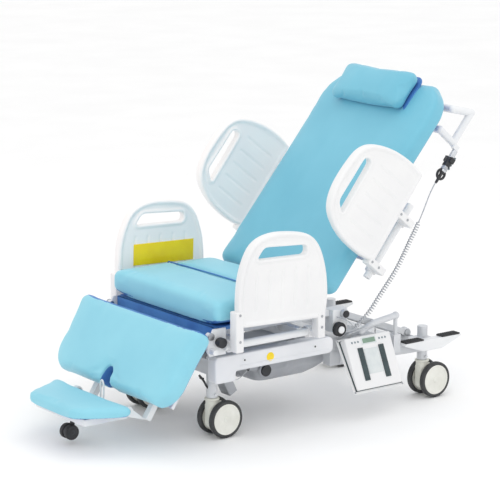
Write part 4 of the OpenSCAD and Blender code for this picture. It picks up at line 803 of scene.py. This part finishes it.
# Base covers and drive housing
COVER_IN_Y, COVER_T, COVER_OUT_Y, COVER_SCREW_Z = 240.4, 45.6, 286, 262
WASHER = [(0, 0), (6.5, 0), (7, 0.6), (7, 1.2), (3.8, 1.4), (3.6, 0.4), (0, 0.4)]
COVER = [(-38, 276), (-38, 197), (44, 197), (44, 230), (446, 230), (446, 286), (-28, 286)]
COVER_CORNERS = [6, 10, 10, 8, 20, 20, 8]
SWAGE = [(60, 244), (430, 244), (430, 247), (60, 247)]


def side_cover(side):
    """The moulded cover over a base rail, with its two screws and a shallow swage line."""
    shell = sheet_metal([eased(COVER, COVER_CORNERS)], COVER_T, 5,
                        Matrix.Translation((0, side * (COVER_IN_Y + COVER_T / 2) * MM, 0)))
    swage = sheet_metal([eased(SWAGE, [1.4] * 4)], 2.4, 0.6,
                        Matrix.Translation((0, side * COVER_OUT_Y * MM, 0)))
    heads = []
    for x in (78, 368):
        here = facing(Vector((x * MM, side * COVER_OUT_Y * MM, COVER_SCREW_Z * MM)), (0, side, 0))
        heads.append((lathe(WASHER, here, 24), 1))
        heads.append((lathe(rounded_rod(3.4, 0, 0.9, 0.4), here, 16), 2))
    return moved(merged((shell, 0), (swage, 0), *heads), LEVEL)


for side, end in ((-1, "near"), (1, "far")):
    piece("rail_cover_" + end, side_cover(side), [abs_cover, powder_white, black], "base",
          "side_cover_" + end)

DISC_R, DISC_X, DISC_Z = 15, 182, 257
disc = lathe(rounded_rod(DISC_R, 0, 0.8, 0.4), facing(at(DISC_X, -COVER_OUT_Y, DISC_Z), (0, -1, 0)), 32)
piece("cover_disc", disc, plate_yellow, "base")


# Lowest and highest station, half width and height of each layer of the housing, from its rim down
TUB_LAYERS = ((99, 542, 168, 212), (99, 542, 168, 204), (140, 540, 168, 194), (228, 536, 166, 168),
              (240, 500, 140, 140), (256, 474, 116, 122), (272, 462, 100, 119))
TUB_CORNER = 34
TUB_RIB_W, TUB_RIB_XS = 14, (330, 352, 402)


def drive_tub():
    """The blow-moulded housing under the frame, with its flanges and step."""
    shape = bmesh.new()
    loops = []
    for x_low, x_high, half, z in TUB_LAYERS:
        corners = [(x_low, -half), (x_high, -half), (x_high, half), (x_low, half)]
        outline = eased(corners, [TUB_CORNER] * 4, 8)
        loops.append([shape.verts.new((p.x * MM, p.y * MM, z * MM)) for p in outline])
    for a, b in zip(loops, loops[1:]):
        for k in range(len(a)):
            shape.faces.new((a[k], b[k], b[(k + 1) % len(a)], a[(k + 1) % len(a)]))
    shape.faces.new(loops[0][::-1])
    shape.faces.new(loops[-1])
    bmesh.ops.recalc_face_normals(shape, faces=shape.faces)
    ribs = [block((x, -169, 172), (x + TUB_RIB_W, -160, 208), 3) for x in TUB_RIB_XS]
    return merged(shape, *ribs)


piece("drive_tub", moved(bm_of(remeshed(drive_tub(), 3.2, 5)), LEVEL), abs_grey, "base", "drive_housing")
KNOB = facing(at(246, -169, 176), (0, -1, 0))
knob = merged((lathe([(0, 0), (24, 0), (25, 1), (25, 6), (23, 7.5), (0, 7.5)], KNOB), 0),
              (lathe([(0, 7.5), (19, 7.5), (20, 8.5), (20, 12.5), (18.5, 14), (0, 14)], KNOB), 1))
piece("drive_knob", knob, [abs_grey, black], "base", "drive_cap")

# Small things hung under the rail beside the foot caster
HANGER_TURN = -27
HANGER = Matrix.Translation(at(46, -188, 214)) @ Matrix.Rotation(radians(HANGER_TURN), 4, "Y")
hanger = merged((block((-17, -25, -92), (17, 25, 0), 3), 0), (block((16, -21, -84), (19, 21, -8), 1), 1))
piece("slanted_hanger", moved(hanger, HANGER), [abs_grey, powder_white], "base")
WIRE = [(56, -245, 229), (57, -246, 206), (62, -247, 192), (76, -248, 189), (98, -248, 199),
        (117, -248, 212)]
WIRE_R, HOOK_R = 1.3, 3.6
wire = sweep(smooth_path([at(*p) for p in WIRE], 8), WIRE_R, 10)
CLIP_X, CLIP_Z, CLIP_HALF_W, CLIP_HALF_H, CLIP_R = 120, 220, 4, 9, 1.8
clip_turns = [2 * pi * k / 24 for k in range(26)]
clip_line = [at(CLIP_X + CLIP_HALF_W * cos(t), -248, CLIP_Z + CLIP_HALF_H * sin(t)) for t in clip_turns]
clip = sweep(clip_line, CLIP_R, 10)
piece("underrail_wire", merged((wire, 0), (clip, 1)), [cord_skin, black], "base")
HOOK = [(-46, -206, 214), (-40, -208, 206), (-30, -210, 192), (-22, -212, 176), (-16, -212, 168)]
hook = merged(sweep(smooth_path([at(*p) for p in HOOK], 6), HOOK_R, 12),
              lathe(rounded_rod(4, -9, 9), facing(at(-38, -209, 203), (0, 1, 0)), 20))
piece("black_hook", hook, black, "base")

# Brake pedals
PEDAL_Y, PEDAL_Z, PEDAL_T = 294, 200, 34
ROCKER = [(-128, 8), (-128, 16), (128, 16), (128, 8), (44, -22), (-44, -22)]
ROCKER_CORNERS = [3, 2, 2, 3, 22, 22]
TREAD_X, TREAD_HALF_L, TREAD_LOW, TREAD_HIGH = 82, 41, 216, 221.5
TREAD_RIBS, TREAD_RIB_PITCH, TREAD_RIB_W, TREAD_RIB_HALF = 8, 9, 5, 14
for side, end in ((-1, "near"), (1, "far")):
    rocker = eased(ROCKER, ROCKER_CORNERS)
    shape = sheet_metal([rocker], PEDAL_T, 3, Matrix.Translation(at(WHEELBASE, side * PEDAL_Y, PEDAL_Z)))
    piece("pedal_" + end, shape, powder_white, "pedals", "brake_pedal_" + end)
SHAFT = Matrix.Translation(at(WHEELBASE, 0, 0))
treads = []
for side in (-1, 1):
    y = side * PEDAL_Y
    for way in (-1, 1):
        x = way * TREAD_X
        low = (x - TREAD_HALF_L, y - PEDAL_T / 2, TREAD_LOW)
        high = (x + TREAD_HALF_L, y + PEDAL_T / 2, TREAD_HIGH)
        treads.append(moved(block(low, high, 2.2), SHAFT))
        for k in range(TREAD_RIBS):
            rib_x = x - 36 + TREAD_RIB_PITCH * k
            rib_low = (rib_x, y - TREAD_RIB_HALF, 221)
            rib_high = (rib_x + TREAD_RIB_W, y + TREAD_RIB_HALF, 223)
            treads.append(moved(block(rib_low, rib_high, 0.8), SHAFT))
piece("pedal_treads", merged(*treads), rubber, "pedals", "pedal_pads")

# Roller, knob, small caster
ROLLER_BORE, ROLLER_R, ROLLER_W = 8.05, 24, 18
roller = lathe([(ROLLER_BORE, 0), (ROLLER_R - 2, 0), (ROLLER_R, 2), (ROLLER_R, ROLLER_W - 2),
                (ROLLER_R - 2, ROLLER_W), (ROLLER_BORE, ROLLER_W), (ROLLER_BORE, 0)],
               facing(at(489, -272, 298), (0, 1, 0)), 56)
piece("buffer_wheel", roller, rubber, "roller", "buffer_roller")
LOCK_X, LOCK_Z = -34, 342
grip = [(lathe([(0, 1), (12, 1), (13, 2), (13, 9), (17, 11), (17, 26), (15.5, 29), (12, 30), (0, 30)],
               facing(at(LOCK_X, -294, LOCK_Z), (0, -1, 0)), 40), 0),
        (moved(block((-2, -321, LOCK_Z - 4), (18, -309, LOCK_Z + 4), 2.5),
               Matrix.Translation(at(LOCK_X, 0, 0))), 0),
        (lathe(rounded_rod(8, 286, 296, 1), facing(at(LOCK_X, 0, LOCK_Z), (0, -1, 0)), 24), 1)]
piece("lock_grip", merged(*grip), [black, steel], "lock_knob", "leg_lock_knob")

SMALL_TYRE = [(19, -6.5), (22, -7.8), (24.4, -6), (25, -3), (25, 3), (24.4, 6), (22, 7.8), (19, 6.5),
              (19, -6.5)]
SMALL_HUB = [(0, 6), (7, 6), (8, 5), (17, 5), (19.4, 6.4), (19.4, -6.4), (0, -6.4)]
SMALL_X, SMALL_Z, SMALL_OFF = -414, 42, 14
small = []
for side in (-1, 1):
    hub_frame = facing(at(SMALL_X, side * SMALL_OFF, SMALL_Z), (0, side, 0))
    small += [(lathe(SMALL_TYRE, hub_frame), 0), (lathe(SMALL_HUB, hub_frame), 1)]
small.append((lathe(rounded_rod(3, -13, 13), facing(at(SMALL_X, 0, SMALL_Z), (0, 1, 0)), 20), 1))
piece("foot_wheel_pair", merged(*small), [rubber, black], "foot_wheels", "foot_caster_wheels")

# Handset under the push handle
HAND_Y, HAND_N = -270, -206


def hand(s, y, n):
    """A point given along the backrest, across it and out of it, in mm."""
    return BACK @ Vector((s * MM, y * MM, n * MM))


def along_back(s, y, n):
    """A frame at such a point whose Z axis lies along the backrest."""
    return facing(hand(s, y, n), BACK.to_3x3() @ Vector((1, 0, 0)))


handle_frame = along_back(606, HAND_Y, HAND_N)
grip_parts = [
    (lathe([(0, 0), (8, 0), (10, 2), (10.5, 8), (10.5, 86), (9.5, 88), (0, 88)], handle_frame, 40), 1),
    (lathe([(0, 22), (13.6, 22), (14.2, 23.5), (14.2, 54), (13.6, 55.5), (0, 55.5)], handle_frame, 40), 0),
    (lathe([(0, 8), (12, 8), (12.6, 9), (12.6, 17), (12, 18), (0, 18)], handle_frame, 40), 2),
    (lathe([(0, -46), (4, -46), (4.6, -44), (6, -12), (8.5, -2), (8.5, 2), (0, 2)], handle_frame, 32), 0),
    (moved(block((644, HAND_Y - 19, HAND_N - 10.5), (664, HAND_Y + 19, HAND_N + 10.5), 3), BACK), 0),
    (moved(block((660, HAND_Y + 6, HAND_N - 5), (666, HAND_Y + 19.5, HAND_N + 10), 1.5), BACK), 0)]
RING_S, RING_R, RING_THICK = 596, 17, 4.6
ring_turns = [2 * pi * k / 40 for k in range(40)]
ring_path = [hand(RING_S + RING_R * cos(t), HAND_Y, HAND_N + RING_R * sin(t)) for t in ring_turns]
ring = sweep(ring_path + [ring_path[0], ring_path[1]], RING_THICK, 12)
grip_parts.append((ring, 0))
piece("handset_body", merged(*grip_parts), [black, silver_tube, abs_grey], "back", "handset")
BUTTON_ROWS, BUTTON_S, BUTTON_PITCH, BUTTON_OFF = 4, 627, 14, 8
outwards = BACK.to_3x3() @ Vector((0, 0, -1))
buttons = []
for i in range(BUTTON_ROWS):
    for way in (-1, 1):
        place = hand(BUTTON_S + BUTTON_PITCH * i, HAND_Y + way * BUTTON_OFF, HAND_N - 11)
        buttons.append(lathe([(0, -1), (4, -1), (4, 1.8), (3.2, 2.8), (0, 3)], facing(place, outwards), 20))
piece("handset_keys", merged(*buttons), key_film, "back", "handset_buttons")

# Cords
CORD_R, CURL_R, CURLS = 2.1, 6.6, 46
CABLE_R = 2.5
LEAD = [(900, -270, 751), (892, -270, 742), (872, -270, 710), (848, -271, 664), (826, -272, 626)]
CURL = [(826, -272, 626), (810, -276, 604), (779, -282, 566), (741, -288, 515), (704, -293, 470),
        (664, -297, 430), (626, -300, 392), (588, -300, 350), (552, -296, 318), (530, -288, 300)]
TAIL = [(530, -288, 300), (520, -290, 316), (506, -286, 329), (494, -273, 336), (490, -260, 337),
        (490, -249, 337)]


def curled(points, r, turns, per_turn=20):
    """Points of a coil of so many turns along a path in metres, drawn in at both ends."""
    reach = [0]
    for a, b in zip(points, points[1:]):
        reach.append(reach[-1] + (b - a).length)

    def spot(s):
        s = max(0, min(reach[-1], s))
        i = max(k for k in range(len(reach) - 1) if reach[k] <= s)
        return points[i].lerp(points[i + 1], (s - reach[i]) / (reach[i + 1] - reach[i]))

    out = []
    count = turns * per_turn
    drawn = per_turn * 0.75
    for k in range(count + 1):
        s = reach[-1] * k / count
        way = (spot(s + r * MM) - spot(s - r * MM)).normalized()
        u = way.cross(Vector((0, 1, 0))).normalized()
        v = way.cross(u)
        turn = 2 * pi * k / per_turn
        size = r * MM * min(1, k / drawn, (count - k) / drawn)
        out.append(spot(s) + size * (u * cos(turn) + v * sin(turn)))
    return out


lead = smooth_path([at(*p) for p in LEAD], 6)
coil = curled(smooth_path([at(*p) for p in CURL], 12), CURL_R, CURLS)
tail = smooth_path([at(*p) for p in TAIL], 6)
cord_line = lead[:-1] + coil + tail[1:]
cord = piece("handset_curly_cord", sweep(cord_line, CORD_R, 8), cord_skin, None, "curly_cord", smooth=0)
cord.data.shade_smooth()
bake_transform(cord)

CABLE = [(500, -240.6, 256), (500, -250, 258), (506, -270, 272), (518, -292, 286), (545, -304, 296),
         (570, -306, 299), (598, -304, 297), (620, -294, 288), (628, -284, 273), (628, -289, 265)]
cable_line = smooth_path([at(*p) for p in CABLE], 8)
cable = piece("console_lead", sweep(cable_line, CABLE_R, 12), cord_skin, "base", "console_cable")

# Finishes of the CAD nodes
FINISHES = {
    "base_frame": powder_grey, "console_bracket": powder_white, "leg_frame": powder_white,
    "foot_frame": powder_white, "back_frame": powder_white, "push_handle": powder_white,
    "lift_motor": abs_grey, "leg_actuator": abs_grey, "control_box": black, "foot_caster_fork": black,
    "seat_frame": powder_white, "lift_arms_front": powder_grey, "lift_arms_rear": powder_grey,
    # The seat board takes the deep blue painted shade
    "seat_board": vinyl_painted_shade, "brake_shaft": steel, "caster_stems": steel, "lift_rod": steel,
    "base_pivot_pins": steel, "front_seat_pins": black, "section_pins": steel, "foot_pins": steel}
EDGE_EASE, EDGE_ANGLE = 1.2, 50
for node, skin in FINISHES.items():
    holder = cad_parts[node]
    for spot in holder.material_slots:
        spot.material = skin
    edge = holder.modifiers.new("eased_edges", "BEVEL")
    edge.width = EDGE_EASE * MM
    edge.segments = 2
    edge.limit_method = "ANGLE"
    edge.angle_limit = radians(EDGE_ANGLE)
    edge.use_clamp_overlap = True

# Studio
FLOOR_HALF, FLOOR_Z = 30, -0.0005
floor_mesh = bpy.data.meshes.new("floor")
corners = [(x * FLOOR_HALF, y * FLOOR_HALF, FLOOR_Z) for x, y in ((-1, -1), (1, -1), (1, 1), (-1, 1))]
floor_mesh.from_pydata(corners, [], [(0, 1, 2, 3)])
floor = bpy.data.objects.new("floor", floor_mesh)
bpy.context.collection.objects.link(floor)
floor_mesh.materials.append(finish("floor_pale", "#FFFFFF", "#FCFCFC", 0.7, 3.0, 0.0, 500))

world = bpy.data.worlds.new("studio")
bpy.context.scene.world = world
world.use_nodes = True
sky = world.node_tree.nodes["Background"]
sky.inputs["Color"].default_value = (1, 1, 1, 1)
sky.inputs["Strength"].default_value = 1.0


def lamp(name, place, target, size, watts):
    """A soft square light at a place, aimed at a target, in metres."""
    data = bpy.data.lights.new(name, "AREA")
    data.size = size
    data.energy = watts
    holder = bpy.data.objects.new(name, data)
    holder.location = place
    holder.rotation_euler = (Vector(target) - Vector(place)).to_track_quat("-Z", "Y").to_euler()
    bpy.context.collection.objects.link(holder)


lamp("key", (-2.2, -2.8, 3.4), (0, 0, 0.4), 2.6, 20)
lamp("fill", (2.8, -2.6, 2.0), (0, 0, 0.5), 2.4, 3)
lamp("top", (0.6, -0.4, 3.8), (0, 0, 0.4), 2.4, 14)
bpy.context.scene.view_settings.view_transform = "Standard"
